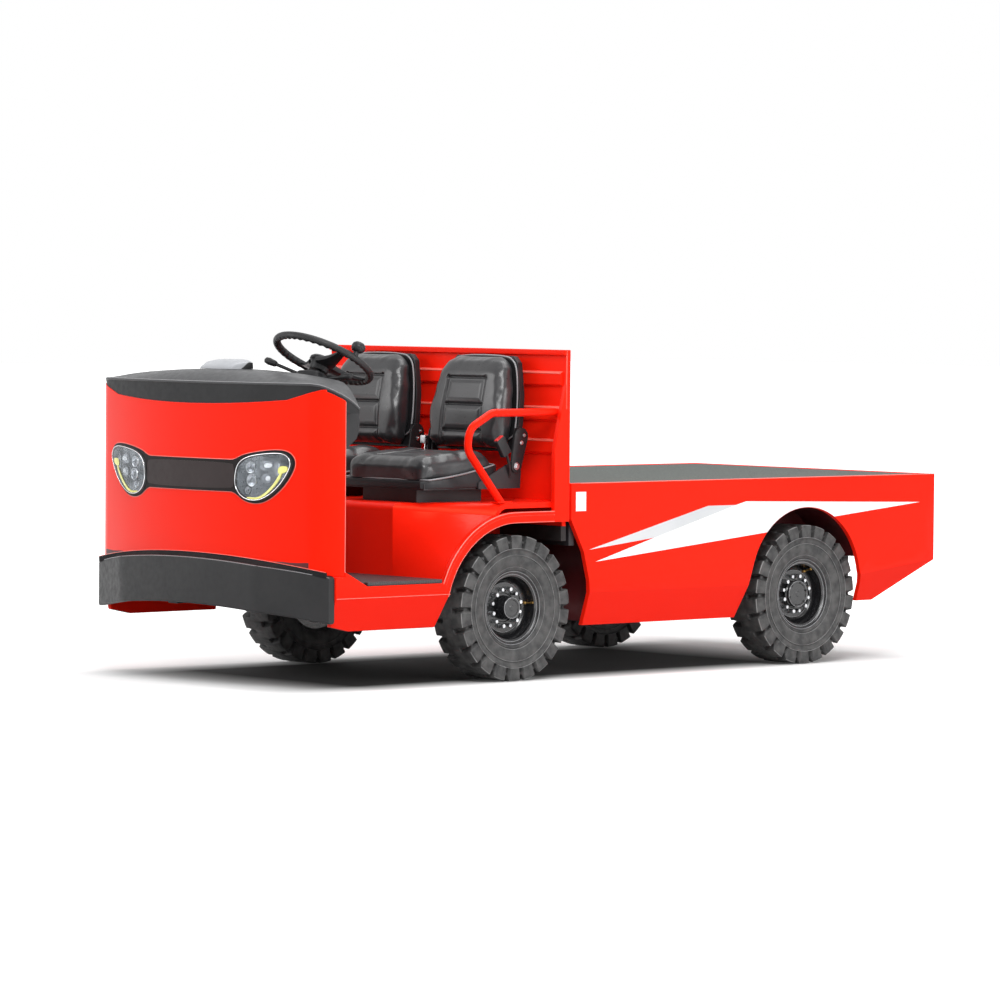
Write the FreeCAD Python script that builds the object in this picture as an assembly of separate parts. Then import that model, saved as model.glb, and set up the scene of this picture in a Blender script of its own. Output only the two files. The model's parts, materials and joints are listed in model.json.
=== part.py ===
import FreeCAD, Part
import math
import os

# Electric platform truck: two-seat open cab at the front, flat load deck behind, four pneumatic tyres.
# Millimetres. +Z is up, the front of the truck faces -Y, and +X is its left-hand side, where the wheel is.
# The origin lies on the ground, midway along and across the overall box.

V = FreeCAD.Vector

# ---------------------------------------------------------------- overall sizes
WIDTH = 1470.0
FRONT_OVERHANG = 1165.0          # bumper face to front axle
WHEELBASE = 1660.0
REAR_OVERHANG = 751.0            # rear axle to the deck's rear edge
DECK_HEIGHT = 795.0              # top edge of the load deck's sides
BULKHEAD_HEIGHT = 1335.0
COWL_EDGE_HEIGHT = 1207.0
COWL_CROWN = 45.0                # how far the cowl's dome stands over its edge
COWL_DEPTH = 300.0               # bumper face to the cowl's rear edge
FLOOR_HEIGHT = 412.0             # top of the cab floor
SEAT_DECK_HEIGHT = 721.0         # top of the box that the seats stand on
SHEET = 22.0                     # body panel with its stiffening
FIT_GAP = 0.3                    # between pieces that lie against each other

LENGTH = FRONT_OVERHANG + WHEELBASE + REAR_OVERHANG
HALF = WIDTH / 2
FRONT = -LENGTH / 2
REAR = LENGTH / 2
AXLE_F = FRONT + FRONT_OVERHANG
AXLE_R = AXLE_F + WHEELBASE
INSIDE = HALF - SHEET            # inner face of the body sides
COWL_BACK = FRONT + COWL_DEPTH

# ---------------------------------------------------------------- wheels and axles
TYRE_R = 295.0
TYRE_WIDTH = 177.0
TREAD_WIDTH = 152.0
TYRE_OUTER_X = HALF - 35
RIM_SEAT_R = 127.0
RIM_FLANGE_R = RIM_SEAT_R + 22
RIM_HALF_WIDTH = 68.0
RIM_WALL = 6.0
HUB_R = 46.0
HUB_OUT = 55.0                   # front hub cap beyond the wheel's middle plane
DISC_OUT = 8.0                   # outer face of the wheel disc beyond that plane
DISC_T = 12.0
SPINDLE_R = 25.0
RUNNING_GAP = 0.05               # radial play of shafts in bores
WHEEL_X = TYRE_OUTER_X - TYRE_WIDTH / 2
AXLE_Z = TYRE_R

KINGPIN_X = TYRE_OUTER_X - 230
KINGPIN_R = 18.0
KINGPIN_EYE_R = 36.0
KINGPIN_EYE_H = 84.0
LUG_T = 20.0
KNUCKLE_X = KINGPIN_X + KINGPIN_EYE_R + 12.0
KNUCKLE_T = 22.0
THRUST_GAP = 0.4
STEER_ARM = 150.0                # kingpin axis back to the tie rod's eye
TIE_ROD_R = 13.0
BEAM_SIZE = 70.0
REAR_TUBE_R = 52.0

# ---------------------------------------------------------------- frame
RAIL_IN = 260.0
RAIL_W = 60.0
RAIL_BOTTOM = 430.0
RAIL_TOP = RAIL_BOTTOM + 110
LOW_RAIL_BOTTOM = 300.0
PLATE_T = 20.0
CAB_REAR = AXLE_F + 257          # rear face of the bulkhead
DECK_FRONT = CAB_REAR + 10

# ---------------------------------------------------------------- nose
NOSE_R = 2315.0                  # plan radius of the front skin
NOSE_SETBACK = 32.0              # front skin behind the bumper face, on the centre line
NOSE_CORNER_R = 150.0
NOSE_SHEET = 24.0
DOOR_FRONT = FRONT + 231.0       # front edge of the door cut-out
BUMPER_TOP = 510.0               # on the centre line
BUMPER_H = 186.0
BUMPER_ARCH_R = 4740.0
BUMPER_FACET_X = 430.0
BUMPER_END_X = HALF - 7
BUMPER_DEPTH = 62.0
BUMPER_FACET_Y = FRONT + 31.0
BUMPER_END_Y = FRONT + 152.0
BUMPER_BACK_Y = BUMPER_END_Y + BUMPER_DEPTH / 2
DASH_TOP = COWL_EDGE_HEIGHT - 41
DASH_BOTTOM = DASH_TOP - 223
DASH_REAR = COWL_BACK + 36
DASH_HALF = INSIDE - 23

NODES = {}


def node(make):
    """Register a function whose name is the node it makes."""
    NODES[make.__name__] = make
    return make


# ---------------------------------------------------------------- helpers
def box(x0, x1, y0, y1, z0, z1):
    return Part.makeBox(x1 - x0, y1 - y0, z1 - z0, V(x0, y0, z0))


def cyl(start, direction, radius, length):
    return Part.makeCylinder(radius, length, V(*start), V(*direction))


def edges_of(items, put):
    """Edges through items: a pair is a point, and a triple of pairs is an arc (via, end)."""
    edges = []
    last = put(*items[0])
    first = last
    for item in items[1:]:
        if isinstance(item[0], tuple):
            via, end = put(*item[0]), put(*item[1])
            edges.append(Part.Arc(last, via, end).toShape())
        else:
            end = put(*item)
            edges.append(Part.makeLine(last, end))
        last = end
    if last.distanceToPoint(first) > 1e-6:
        edges.append(Part.makeLine(last, first))
    return edges


def slab_x(items, x0, x1):
    """Solid with a (y, z) outline, from x0 to x1."""
    wire = Part.Wire(edges_of(items, lambda a, b: V(x0, a, b)))
    return Part.Face(wire).extrude(V(x1 - x0, 0, 0))


def slab_y(items, y0, y1):
    """Solid with an (x, z) outline, from y0 to y1."""
    wire = Part.Wire(edges_of(items, lambda a, b: V(a, y0, b)))
    return Part.Face(wire).extrude(V(0, y1 - y0, 0))


def slab_z(items, z0, z1):
    """Solid with an (x, y) outline, from z0 to z1."""
    wire = Part.Wire(edges_of(items, lambda a, b: V(a, b, z0)))
    return Part.Face(wire).extrude(V(0, 0, z1 - z0))


def mirror(shape):
    return shape.mirror(V(0, 0, 0), V(1, 0, 0))


def both(shape):
    return Part.makeCompound([shape, mirror(shape)])


def fuse(shapes):
    return shapes[0].multiFuse(shapes[1:]).removeSplitter()


def revolve_x(profile, centre):
    """Ring about an X axis through centre, from an (x, r) profile."""
    wire = Part.makePolygon([V(a, 0, b) for a, b in profile + profile[:1]])
    ring = Part.Face(wire).revolve(V(0, 0, 0), V(1, 0, 0), 360)
    ring.translate(V(*centre))
    return ring


def tube(points, bend, radius):
    """Round bar through points, with every corner bent to one radius."""
    path = [V(*p) for p in points]
    edges = []
    last = path[0]
    for before, corner, after in zip(path, path[1:], path[2:]):
        a = (before - corner).normalize()
        b = (after - corner).normalize()
        half = a.getAngle(b) / 2
        back = bend / math.tan(half)
        middle = (a + b).normalize()
        inner = corner + middle * (bend / math.sin(half) - bend)
        edges.append(Part.makeLine(last, corner + a * back))
        edges.append(Part.Arc(corner + a * back, inner, corner + b * back).toShape())
        last = corner + b * back
    edges.append(Part.makeLine(last, path[-1]))
    start = Part.Wire([Part.makeCircle(radius, path[0], path[1] - path[0])])
    return Part.Wire(edges).makePipeShell([start], True, False)


def on_arc(centre, radius, degrees):
    a = math.radians(degrees)
    return (centre[0] + radius * math.cos(a), centre[1] + radius * math.sin(a))


# ---------------------------------------------------------------- nose forms
def nose_block(inset, back, z0, z1):
    """Plan form of the nose, moved in by inset, from the front skin back to the plane y = back."""
    half = HALF - inset
    y_front = FRONT + NOSE_SETBACK + inset
    radius = NOSE_R - inset
    far_back = max(back, DOOR_FRONT) + NOSE_CORNER_R + 60
    core = Part.makeCylinder(radius, z1 - z0, V(0, y_front + radius, z0))
    block = core.common(box(-half, half, y_front - 10, far_back, z0, z1))
    corners = []
    for edge in block.Edges:
        a, b = edge.Vertexes[0].Point, edge.Vertexes[-1].Point
        upright = abs(a.x - b.x) < 1e-3 and abs(a.y - b.y) < 1e-3
        if upright and abs(abs(a.x) - half) < 1e-3 and a.y < far_back - 1:
            corners.append(edge)
    block = block.makeFillet(NOSE_CORNER_R - inset, corners)
    return block.common(box(-HALF, HALF, FRONT - 10, back, z0, z1))


def arch_band(z_top, height, y0, y1):
    """Upward arch across the truck: centre line at z_top, dropping towards both sides."""
    rise = BUMPER_ARCH_R - math.sqrt(BUMPER_ARCH_R ** 2 - HALF ** 2)
    low = z_top - rise
    outline = [(-HALF, low), ((0, z_top), (HALF, low)), (HALF, low - height),
               ((0, z_top - height), (-HALF, low - height))]
    return slab_y(outline, y0, y1)


COWL_SEAM = COWL_EDGE_HEIGHT - 89       # red skin's top edge on the centre line
COWL_SEAM_SIDE = COWL_EDGE_HEIGHT - 24  # and where it meets the corners
SEAM_SIDE_X = HALF - 52
SEAM_REAR = COWL_EDGE_HEIGHT - 67       # red skin's top edge at the door cut-out


def cowl_region():
    """Everything above the seam between the red nose skin and the black cowl."""
    top = COWL_EDGE_HEIGHT + 200
    knee = SEAM_SIDE_X * 0.78
    knee_z = COWL_SEAM + 0.34 * (COWL_SEAM_SIDE - COWL_SEAM)
    front = slab_y([(-HALF, COWL_SEAM_SIDE), (-SEAM_SIDE_X, COWL_SEAM_SIDE), (-knee, knee_z),
                    ((0, COWL_SEAM), (knee, knee_z)), (SEAM_SIDE_X, COWL_SEAM_SIDE), (HALF, COWL_SEAM_SIDE),
                    (HALF, top), (-HALF, top)], FRONT, CAB_REAR)
    corner_y = DOOR_FRONT - 82
    side = slab_x([(corner_y, COWL_SEAM_SIDE), (DOOR_FRONT, SEAM_REAR), (CAB_REAR, SEAM_REAR),
                   (CAB_REAR, top), (corner_y, top)], DASH_HALF + 4, HALF)
    return fuse([front, side, mirror(side)])


DOG_BONE = [(0, 899), (270, 899), (322, 922), (430, 938), (529, 944), (571, 920), (580, 880),
            (530, 804), (460, 748), (392, 729), (327, 739), (272, 774), (0, 774)]
LENS = [(318, 880), (352, 908), (440, 922), (524, 926), (556, 900), (556, 876), (512, 812),
        (448, 764), (390, 748), (336, 762), (310, 810)]
MASK_PROUD = 4.0
LENS_PROUD = 9.0


def nose_patch(outline, low, high):
    """Part of the front skin inside an (x, z) outline, between two distances in front of it."""
    outer = nose_block(-high, DOOR_FRONT - 60, BUMPER_TOP, COWL_SEAM)
    inner = nose_block(-low, DOOR_FRONT, BUMPER_TOP - 1, COWL_SEAM + 1)
    return outer.cut(inner).common(slab_y(outline, FRONT - 20, AXLE_F))


@node
def front_fascia():
    skin = nose_block(0, DOOR_FRONT, LOW_RAIL_BOTTOM, COWL_EDGE_HEIGHT)
    skin = skin.cut(nose_block(NOSE_SHEET, DOOR_FRONT + 1, 0, BULKHEAD_HEIGHT))
    rise = BUMPER_ARCH_R - math.sqrt(BUMPER_ARCH_R ** 2 - HALF ** 2)
    below = arch_band(BUMPER_TOP, BUMPER_TOP, FRONT - 10, BUMPER_BACK_Y)
    behind = box(-HALF, HALF, BUMPER_BACK_Y, DOOR_FRONT + 1, 0, BUMPER_TOP - rise)
    return skin.cut(below).cut(behind).cut(cowl_region())


@node
def cowl_top():
    back = COWL_BACK
    block = nose_block(0, back, COWL_SEAM - 20, COWL_EDGE_HEIGHT + COWL_CROWN)
    crown = COWL_EDGE_HEIGHT + COWL_CROWN
    side_z = COWL_EDGE_HEIGHT - 8
    across = slab_y([(-HALF, side_z), ((0, crown), (HALF, side_z)), (HALF, 0), (-HALF, 0)], FRONT - 10, back)
    along = slab_x([(FRONT, COWL_EDGE_HEIGHT - 6), (FRONT + 90, crown - 14), ((FRONT + 160, crown - 3),
                   (FRONT + 240, crown)), (back, crown), (back, 0), (FRONT, 0)], -HALF, HALF)
    roof = block.common(across).common(along)
    shoulder = slab_y([(HALF, SEAM_REAR + 8), (HALF - 150, crown + 60), (HALF, crown + 60)],
                      DOOR_FRONT - 40, back)
    roof = roof.cut(shoulder).cut(mirror(shoulder))
    hollow = nose_block(NOSE_SHEET, back + 1, 0, crown - NOSE_SHEET)
    hollow = hollow.common(slab_y([(-HALF, side_z - NOSE_SHEET - 20), ((0, crown - NOSE_SHEET),
                           (HALF, side_z - NOSE_SHEET - 20)), (HALF, 0), (-HALF, 0)], FRONT, back + 1))
    roof = roof.common(cowl_region()).cut(hollow)
    rear_wall = box(-HALF, HALF, back - NOSE_SHEET, back, DASH_TOP, crown).common(across)
    rear_wall = rear_wall.cut(shoulder).cut(mirror(shoulder)).common(nose_block(0, back, 0, crown))
    return fuse([roof, rear_wall])


def dash_form():
    front = DOOR_FRONT - 6
    outline = [(front, DASH_TOP - FIT_GAP), (COWL_BACK - 4, DASH_TOP - FIT_GAP),
               (DASH_REAR - 26, DASH_TOP - 30),
               ((DASH_REAR, DASH_TOP - 95), (DASH_REAR - 15, DASH_TOP - 177)),
               (DOOR_FRONT + 28, DASH_BOTTOM), (front, DASH_BOTTOM)]
    return slab_x(outline, -DASH_HALF, DASH_HALF)


@node
def dash_panel():
    return dash_form().cut(column_line(COLUMN_SHROUD_R + FIT_GAP, 500))


@node
def lamp_mask():
    right = nose_patch(DOG_BONE, 0, MASK_PROUD)
    return fuse([right, mirror(right)])


@node
def headlamps():
    return both(nose_patch(LENS, MASK_PROUD, LENS_PROUD))


@node
def bumper():
    deep = BUMPER_DEPTH
    front = [(-BUMPER_END_X, BUMPER_END_Y), (-BUMPER_FACET_X, BUMPER_FACET_Y),
             ((0, FRONT), (BUMPER_FACET_X, BUMPER_FACET_Y)), (BUMPER_END_X, BUMPER_END_Y)]
    back = [(BUMPER_END_X, BUMPER_BACK_Y), (BUMPER_END_X - deep, BUMPER_BACK_Y),
            (BUMPER_FACET_X, BUMPER_FACET_Y + deep),
            ((0, FRONT + deep), (-BUMPER_FACET_X, BUMPER_FACET_Y + deep)),
            (-BUMPER_END_X + deep, BUMPER_BACK_Y), (-BUMPER_END_X, BUMPER_BACK_Y)]
    plan = slab_z(front + back, 100, 600)
    return plan.common(arch_band(BUMPER_TOP, BUMPER_H, FRONT - 10, AXLE_F))


# ---------------------------------------------------------------- cab body
ARCH_F_R = TYRE_R + 80
ARCH_F_CENTRE = (AXLE_F - 27, AXLE_Z - 30)
FENDER_BEAD = 45.0
SILL_CREASE = 367.0
SILL_BOTTOM = 235.0
SILL_TUCK = 38.0                 # how far the lower sill leans in
SILL_FRONT = BUMPER_BACK_Y
FENDER_END = CAB_REAR - 83.0
SEAT_BOX_FRONT = AXLE_F - 427.0
SEAT_BOX_ROUND = 30.0
CORNER_START_X = 430.0


@node
def cab_sides():
    c = ARCH_F_CENTRE
    bead = ARCH_F_R + FENDER_BEAD
    gusset = BUMPER_TOP - 58
    floor_angle = 180 - math.degrees(math.asin((FLOOR_HEIGHT - c[1]) / bead))
    outline = [(SILL_FRONT, gusset), (DOOR_FRONT, gusset), (DOOR_FRONT, FLOOR_HEIGHT + 60),
               (DOOR_FRONT + 115, FLOOR_HEIGHT), on_arc(c, bead, floor_angle),
               (on_arc(c, bead, 125), on_arc(c, bead, 90)), (FENDER_END, c[1] + bead),
               (FENDER_END, c[1] + ARCH_F_R), on_arc(c, ARCH_F_R, 90),
               (on_arc(c, ARCH_F_R, 125), on_arc(c, ARCH_F_R, 163)), (c[0] - 409, SILL_BOTTOM),
               (SILL_FRONT + 96, SILL_BOTTOM), (SILL_FRONT, SILL_BOTTOM + 20)]
    upright = [(HALF, SILL_CREASE), (HALF, 800), (INSIDE, 800), (INSIDE, SILL_CREASE),
               (INSIDE - SILL_TUCK, SILL_BOTTOM), (HALF - SILL_TUCK, SILL_BOTTOM)]
    plate = slab_y(upright, SILL_FRONT, FENDER_END)
    plate = plate.common(slab_x(outline, INSIDE - SILL_TUCK, HALF))
    return both(plate)


@node
def cab_floor():
    top, bottom = FLOOR_HEIGHT, FLOOR_HEIGHT - PLATE_T
    plate = box(-INSIDE, INSIDE, BUMPER_END_Y + 32, SEAT_BOX_FRONT + SHEET, bottom, top)
    wedge = box(-INSIDE + 40, INSIDE - 40, FRONT + BUMPER_DEPTH + 40, BUMPER_END_Y + 32, bottom, top)
    return fuse([plate, wedge.common(nose_block(BUMPER_DEPTH, AXLE_F, 0, 1000))])


@node
def floor_mat():
    z0, z1 = FLOOR_HEIGHT, FLOOR_HEIGHT + 16
    y1 = SEAT_BOX_FRONT - FIT_GAP
    inside = INSIDE - FIT_GAP
    plan = [(-HALF, y1), (HALF, y1), (HALF, DOOR_FRONT + 116), (inside, DOOR_FRONT + 116),
            (inside, DOOR_FRONT + 20),
            (-inside, DOOR_FRONT + 20), (-inside, DOOR_FRONT + 116), (-HALF, DOOR_FRONT + 116)]
    return slab_z(plan, z0, z1)


def seat_box_form(inset, out_x):
    """The box under the seats, moved in by inset on its front and top; its front corners sweep back."""
    front = SEAT_BOX_FRONT + inset
    top = SEAT_DECK_HEIGHT - inset
    back = CAB_REAR - SHEET
    low = FLOOR_HEIGHT - (PLATE_T + 1 if inset else 0)
    r = SEAT_BOX_ROUND
    c = ARCH_F_CENTRE
    swept = ARCH_F_R + FENDER_BEAD - inset
    flat = [(front, low), (front, top - r), ((front + 0.3 * r, top - 0.3 * r), (front + r, top)),
            (back, top), (back, low)]
    start = (c[0] - math.sqrt(swept ** 2 - (low - c[1]) ** 2), low)
    curved = [start, (on_arc(c, swept, 130), on_arc(c, swept, 104)),
              ((c[0] - 70, top - 12), (c[0] - 40, top)), (back, top), (back, low)]
    middle = slab_x(flat, -CORNER_START_X, CORNER_START_X)
    inboard = Part.Wire(edges_of(flat, lambda a, b: V(CORNER_START_X, a, b)))
    outboard = Part.Wire(edges_of(curved, lambda a, b: V(out_x, a, b)))
    side = Part.makeLoft([inboard, outboard], True, True)
    return fuse([middle, side, mirror(side)])


WELL_X = KINGPIN_X - 125         # inner wall of the front wheel wells


@node
def seat_box():
    whole = seat_box_form(0, INSIDE)
    inner = seat_box_form(SHEET, INSIDE + 1)
    wall = box(WELL_X - SHEET, WELL_X, AXLE_F - 700, CAB_REAR, RAIL_TOP + FIT_GAP, SEAT_DECK_HEIGHT)
    inner = inner.cut(wall).cut(mirror(wall))
    recess = box(-RAIL_IN / 2, RAIL_IN / 2, SEAT_BOX_FRONT - 1, SEAT_BOX_FRONT + 12,
                 FLOOR_HEIGHT, SEAT_DECK_HEIGHT - 50)
    return whole.cut(inner).cut(recess)


# ---------------------------------------------------------------- bulkhead
WING_MID_Z = SEAT_DECK_HEIGHT + 214
WING_TOP_Z = BULKHEAD_HEIGHT - 135
RIBS = (BULKHEAD_HEIGHT - 119, BULKHEAD_HEIGHT - 260, BULKHEAD_HEIGHT - 394)
RIB_H = 46.0
RIB_D = 13.0


@node
def bulkhead():
    face = CAB_REAR - SHEET
    bottom = SEAT_DECK_HEIGHT - 160
    panel = box(-INSIDE, INSIDE, face, CAB_REAR, bottom, BULKHEAD_HEIGHT)
    flange = box(-HALF, HALF, face - 14, CAB_REAR, BULKHEAD_HEIGHT - SHEET, BULKHEAD_HEIGHT)
    wing = slab_x([(CAB_REAR, BULKHEAD_HEIGHT), (face, BULKHEAD_HEIGHT), (face, WING_TOP_Z),
                   (FENDER_END, WING_MID_Z), (FENDER_END, ARCH_F_CENTRE[1] + ARCH_F_R),
                   (CAB_REAR, ARCH_F_CENTRE[1] + ARCH_F_R)], INSIDE, HALF)
    pieces = [panel, flange, wing, mirror(wing)]
    for z in RIBS:
        pieces.append(slab_x([(face + 1, z - RIB_H / 2 - 8), (face - RIB_D, z - RIB_H / 2),
                              (face - RIB_D, z + RIB_H / 2), (face + 1, z + RIB_H / 2 + 8)],
                             -INSIDE, INSIDE))
    return fuse(pieces)


GRAB_R = 16.0
GRAB_X = INSIDE - 23


@node
def grab_rails():
    foot = SEAT_DECK_HEIGHT
    wing_face = CAB_REAR - SHEET
    path = [(GRAB_X, AXLE_F - 77, foot), (GRAB_X, AXLE_F - 262, foot + 215),
            (GRAB_X, AXLE_F - 250, foot + 300), (GRAB_X, AXLE_F - 130, foot + 362),
            (GRAB_X, wing_face - RIB_D - 1, foot + 362)]
    rail = tube(path, 70, GRAB_R)
    rail = rail.cut(box(0, HALF, FRONT, REAR, 0, foot))
    foot_plate = box(GRAB_X - 26, GRAB_X + 22, AXLE_F - 110, AXLE_F - 36, foot, foot + 6)
    return both(fuse([rail, foot_plate]))


# ---------------------------------------------------------------- load deck
ARCH_R_R = TYRE_R + 33
ARCH_R_CENTRE = (AXLE_R - 32, AXLE_Z + 43)
PANEL_CREASE = 349.0
PANEL_BOTTOM = 213.0
PANEL_TUCK = 40.0
REAR_CREASE = 425.0
REAR_BOTTOM = 423.0


def panel_section(crease, drop, y):
    lean = PANEL_TUCK / (PANEL_CREASE - PANEL_BOTTOM) * drop
    points = [(HALF, DECK_HEIGHT), (HALF, crease), (HALF - lean, crease - drop),
              (INSIDE - lean, crease - drop), (INSIDE, crease), (INSIDE, DECK_HEIGHT)]
    return Part.makePolygon([V(a, y, b) for a, b in points + points[:1]])


def side_panel(side):
    drop = PANEL_CREASE - PANEL_BOTTOM
    fore = Part.makeLoft([panel_section(PANEL_CREASE, drop, DECK_FRONT),
                          panel_section(PANEL_CREASE, drop, ARCH_R_CENTRE[0])], True, True)
    aft = Part.makeLoft([panel_section(PANEL_CREASE - 13, drop, ARCH_R_CENTRE[0]),
                         panel_section(REAR_CREASE, drop, REAR)], True, True)
    c = ARCH_R_CENTRE
    outline = [(DECK_FRONT, DECK_HEIGHT), (DECK_FRONT, 646), (DECK_FRONT + 72, 515),
               (DECK_FRONT + 104, 395), (DECK_FRONT + 106, PANEL_CREASE), (DECK_FRONT + 102, PANEL_BOTTOM),
               (c[0] - 389, PANEL_BOTTOM), on_arc(c, ARCH_R_R, 160),
               (on_arc(c, ARCH_R_R, 85), on_arc(c, ARCH_R_R, 10)), (AXLE_R + 306, 340),
               (AXLE_R + 306, 258), (AXLE_R + 405, 258), (REAR, REAR_BOTTOM), (REAR, DECK_HEIGHT)]
    whole = fuse([fore, aft]).common(slab_x(outline, INSIDE - PANEL_TUCK - 10, HALF))
    return whole if side > 0 else mirror(whole)


@node
def side_panel_left():
    return side_panel(1)


@node
def side_panel_right():
    return side_panel(-1)


DECK_T = 20.0
MAT_T = 8.0
DECK_TOP = DECK_HEIGHT - 10
TAIL_INSET = 31.0
WALL_BOTTOM = PANEL_BOTTOM + 12


@node
def platform_deck():
    return box(-INSIDE, INSIDE, DECK_FRONT, REAR - TAIL_INSET, DECK_TOP - DECK_T, DECK_TOP)


@node
def deck_mat():
    return box(-INSIDE + 12, INSIDE - 12, DECK_FRONT + 14, REAR - TAIL_INSET - 14, DECK_TOP, DECK_TOP + MAT_T)


TAIL_LAMP_X = INSIDE - 123
TAIL_LAMP_Z = DECK_HEIGHT - 105
TAIL_LAMP_SIZE = (130.0, 62.0)


@node
def rear_panel():
    return box(-INSIDE, INSIDE, REAR - TAIL_INSET, REAR - 6, REAR_BOTTOM, DECK_HEIGHT)


@node
def tail_lamps():
    w, h = TAIL_LAMP_SIZE
    lamp = box(TAIL_LAMP_X - w / 2, TAIL_LAMP_X + w / 2, REAR - 6, REAR,
               TAIL_LAMP_Z - h / 2, TAIL_LAMP_Z + h / 2)
    return both(lamp)


@node
def wheel_boxes():
    c = ARCH_R_CENTRE
    r = ARCH_R_R + 12
    x0, x1 = TYRE_OUTER_X - TYRE_WIDTH - 31, INSIDE - FIT_GAP
    shell = cyl((x0 - 8, c[0], c[1]), (1, 0, 0), r + 8, x1 - x0 + 8)
    shell = shell.cut(cyl((x0, c[0], c[1]), (1, 0, 0), r, x1))
    shell = shell.cut(box(0, HALF, FRONT, REAR, -50, PANEL_CREASE + 30))
    return both(shell.cut(box(0, HALF, AXLE_R, REAR, 0, PANEL_CREASE + 100)))


@node
def front_walls():
    """Sheets that close the body behind the front wheels, between the frame rails and the side panels."""
    y = DECK_FRONT + 150
    tuck = PANEL_TUCK / (PANEL_CREASE - PANEL_BOTTOM) * (PANEL_CREASE - WALL_BOTTOM)
    inner = RAIL_IN + RAIL_W + FIT_GAP
    outer = INSIDE - FIT_GAP
    outline = [(inner, WALL_BOTTOM), (outer - tuck, WALL_BOTTOM), (outer, PANEL_CREASE),
               (outer, DECK_TOP - DECK_T - FIT_GAP), (inner, DECK_TOP - DECK_T - FIT_GAP)]
    return both(slab_y(outline, y, y + 4))


# ---------------------------------------------------------------- frame
MOTOR_FRONT = AXLE_R - 420       # the drive motor lies ahead of the rear axle
BATTERY_REAR = MOTOR_FRONT - 73
BEARERS = (DECK_FRONT + 22, BATTERY_REAR + 40, AXLE_R + 360, REAR - 110)
CROSS_Y = (FRONT + 330, AXLE_F - 300, AXLE_F + 330, AXLE_R - 360, REAR - 190)
HITCH_Y = REAR - 130
HITCH_PIN_R = 16.0
HITCH_PIN_Y = REAR - 52.0
HITCH_JAW_T = 18.0
HITCH_HIGH_Z = REAR_BOTTOM - HITCH_JAW_T - 2
HITCH_LOW_Z = HITCH_HIGH_Z - 60


@node
def frame_rails():
    y0 = FRONT + 190
    drop_y = SEAT_BOX_FRONT + 40
    floor_bottom = FLOOR_HEIGHT - PLATE_T
    outline = [(y0, LOW_RAIL_BOTTOM), (y0, floor_bottom), (drop_y - 10, floor_bottom), (drop_y + 10, RAIL_TOP),
               (HITCH_Y, RAIL_TOP), (HITCH_Y, RAIL_BOTTOM), (drop_y + 70, RAIL_BOTTOM),
               (drop_y + 30, LOW_RAIL_BOTTOM)]
    return both(slab_x(outline, RAIL_IN, RAIL_IN + RAIL_W))


@node
def cross_members():
    pieces = []
    for y in CROSS_Y:
        z0 = LOW_RAIL_BOTTOM + 12 if y < SEAT_BOX_FRONT else RAIL_BOTTOM + 14
        pieces.append(box(-RAIL_IN, RAIL_IN, y - 30, y + 30, z0, z0 + 70))
    return Part.makeCompound(pieces)


@node
def deck_bearers():
    pieces = []
    for y in BEARERS:
        pieces.append(box(-INSIDE + 1, INSIDE - 1, y - 14, y + 14, RAIL_TOP, DECK_TOP - DECK_T))
    return Part.makeCompound(pieces)


@node
def battery_pack():
    x = RAIL_IN - 8
    lid = DECK_TOP - DECK_T - 20
    front = CROSS_Y[2] + 40
    pack = box(-x, x, front, BATTERY_REAR, LOW_RAIL_BOTTOM + 30, lid)
    ledge = box(-RAIL_IN - RAIL_W, RAIL_IN + RAIL_W, front + 20, BATTERY_REAR - 20, RAIL_TOP, RAIL_TOP + 12)
    return fuse([pack, ledge])


@node
def tow_hitch():
    cross = box(-RAIL_IN - RAIL_W, RAIL_IN + RAIL_W, HITCH_Y, HITCH_Y + 30, HITCH_LOW_Z - 6, RAIL_TOP)
    jaws = [cross]
    for z in (HITCH_LOW_Z, HITCH_HIGH_Z):
        jaw = box(-55, 55, HITCH_Y + 30, REAR - 12, z, z + HITCH_JAW_T)
        jaws.append(jaw.cut(cyl((0, HITCH_PIN_Y, z - 1), (0, 0, 1), HITCH_PIN_R, HITCH_JAW_T + 2)))
    return fuse(jaws)


# ---------------------------------------------------------------- axles and suspension
@node
def front_axle():
    z0 = AXLE_Z - BEAM_SIZE / 2
    reach = KINGPIN_X - KINGPIN_EYE_R + 6
    beam = box(-reach, reach, AXLE_F - BEAM_SIZE / 2, AXLE_F + BEAM_SIZE / 2, z0, z0 + BEAM_SIZE)
    pieces = [beam]
    for s in (1, -1):
        pieces.append(cyl((s * KINGPIN_X, AXLE_F, AXLE_Z - KINGPIN_EYE_H / 2), (0, 0, 1),
                          KINGPIN_EYE_R, KINGPIN_EYE_H))
    body = fuse(pieces)
    for s in (1, -1):
        body = body.cut(cyl((s * KINGPIN_X, AXLE_F, 0), (0, 0, 1), KINGPIN_R + RUNNING_GAP, 600))
    return body


@node
def rear_axle():
    reach = WHEEL_X - 75
    tube_ = cyl((-reach, AXLE_R, AXLE_Z), (1, 0, 0), REAR_TUBE_R, 2 * reach)
    stub = cyl((-WHEEL_X - 20, AXLE_R, AXLE_Z), (1, 0, 0), SPINDLE_R, 2 * WHEEL_X + 40)
    diff = cyl((-110, AXLE_R, AXLE_Z), (1, 0, 0), 125, 220)
    motor = cyl((0, MOTOR_FRONT, AXLE_Z + 20), (0, 1, 0), 105, AXLE_R - 20 - MOTOR_FRONT)
    return fuse([tube_, stub, diff, motor])


SPRING_W = 60.0
SPRING_T = 26.0
SPRING_HALF = 270.0
SPRING_X = RAIL_IN + 30


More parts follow.
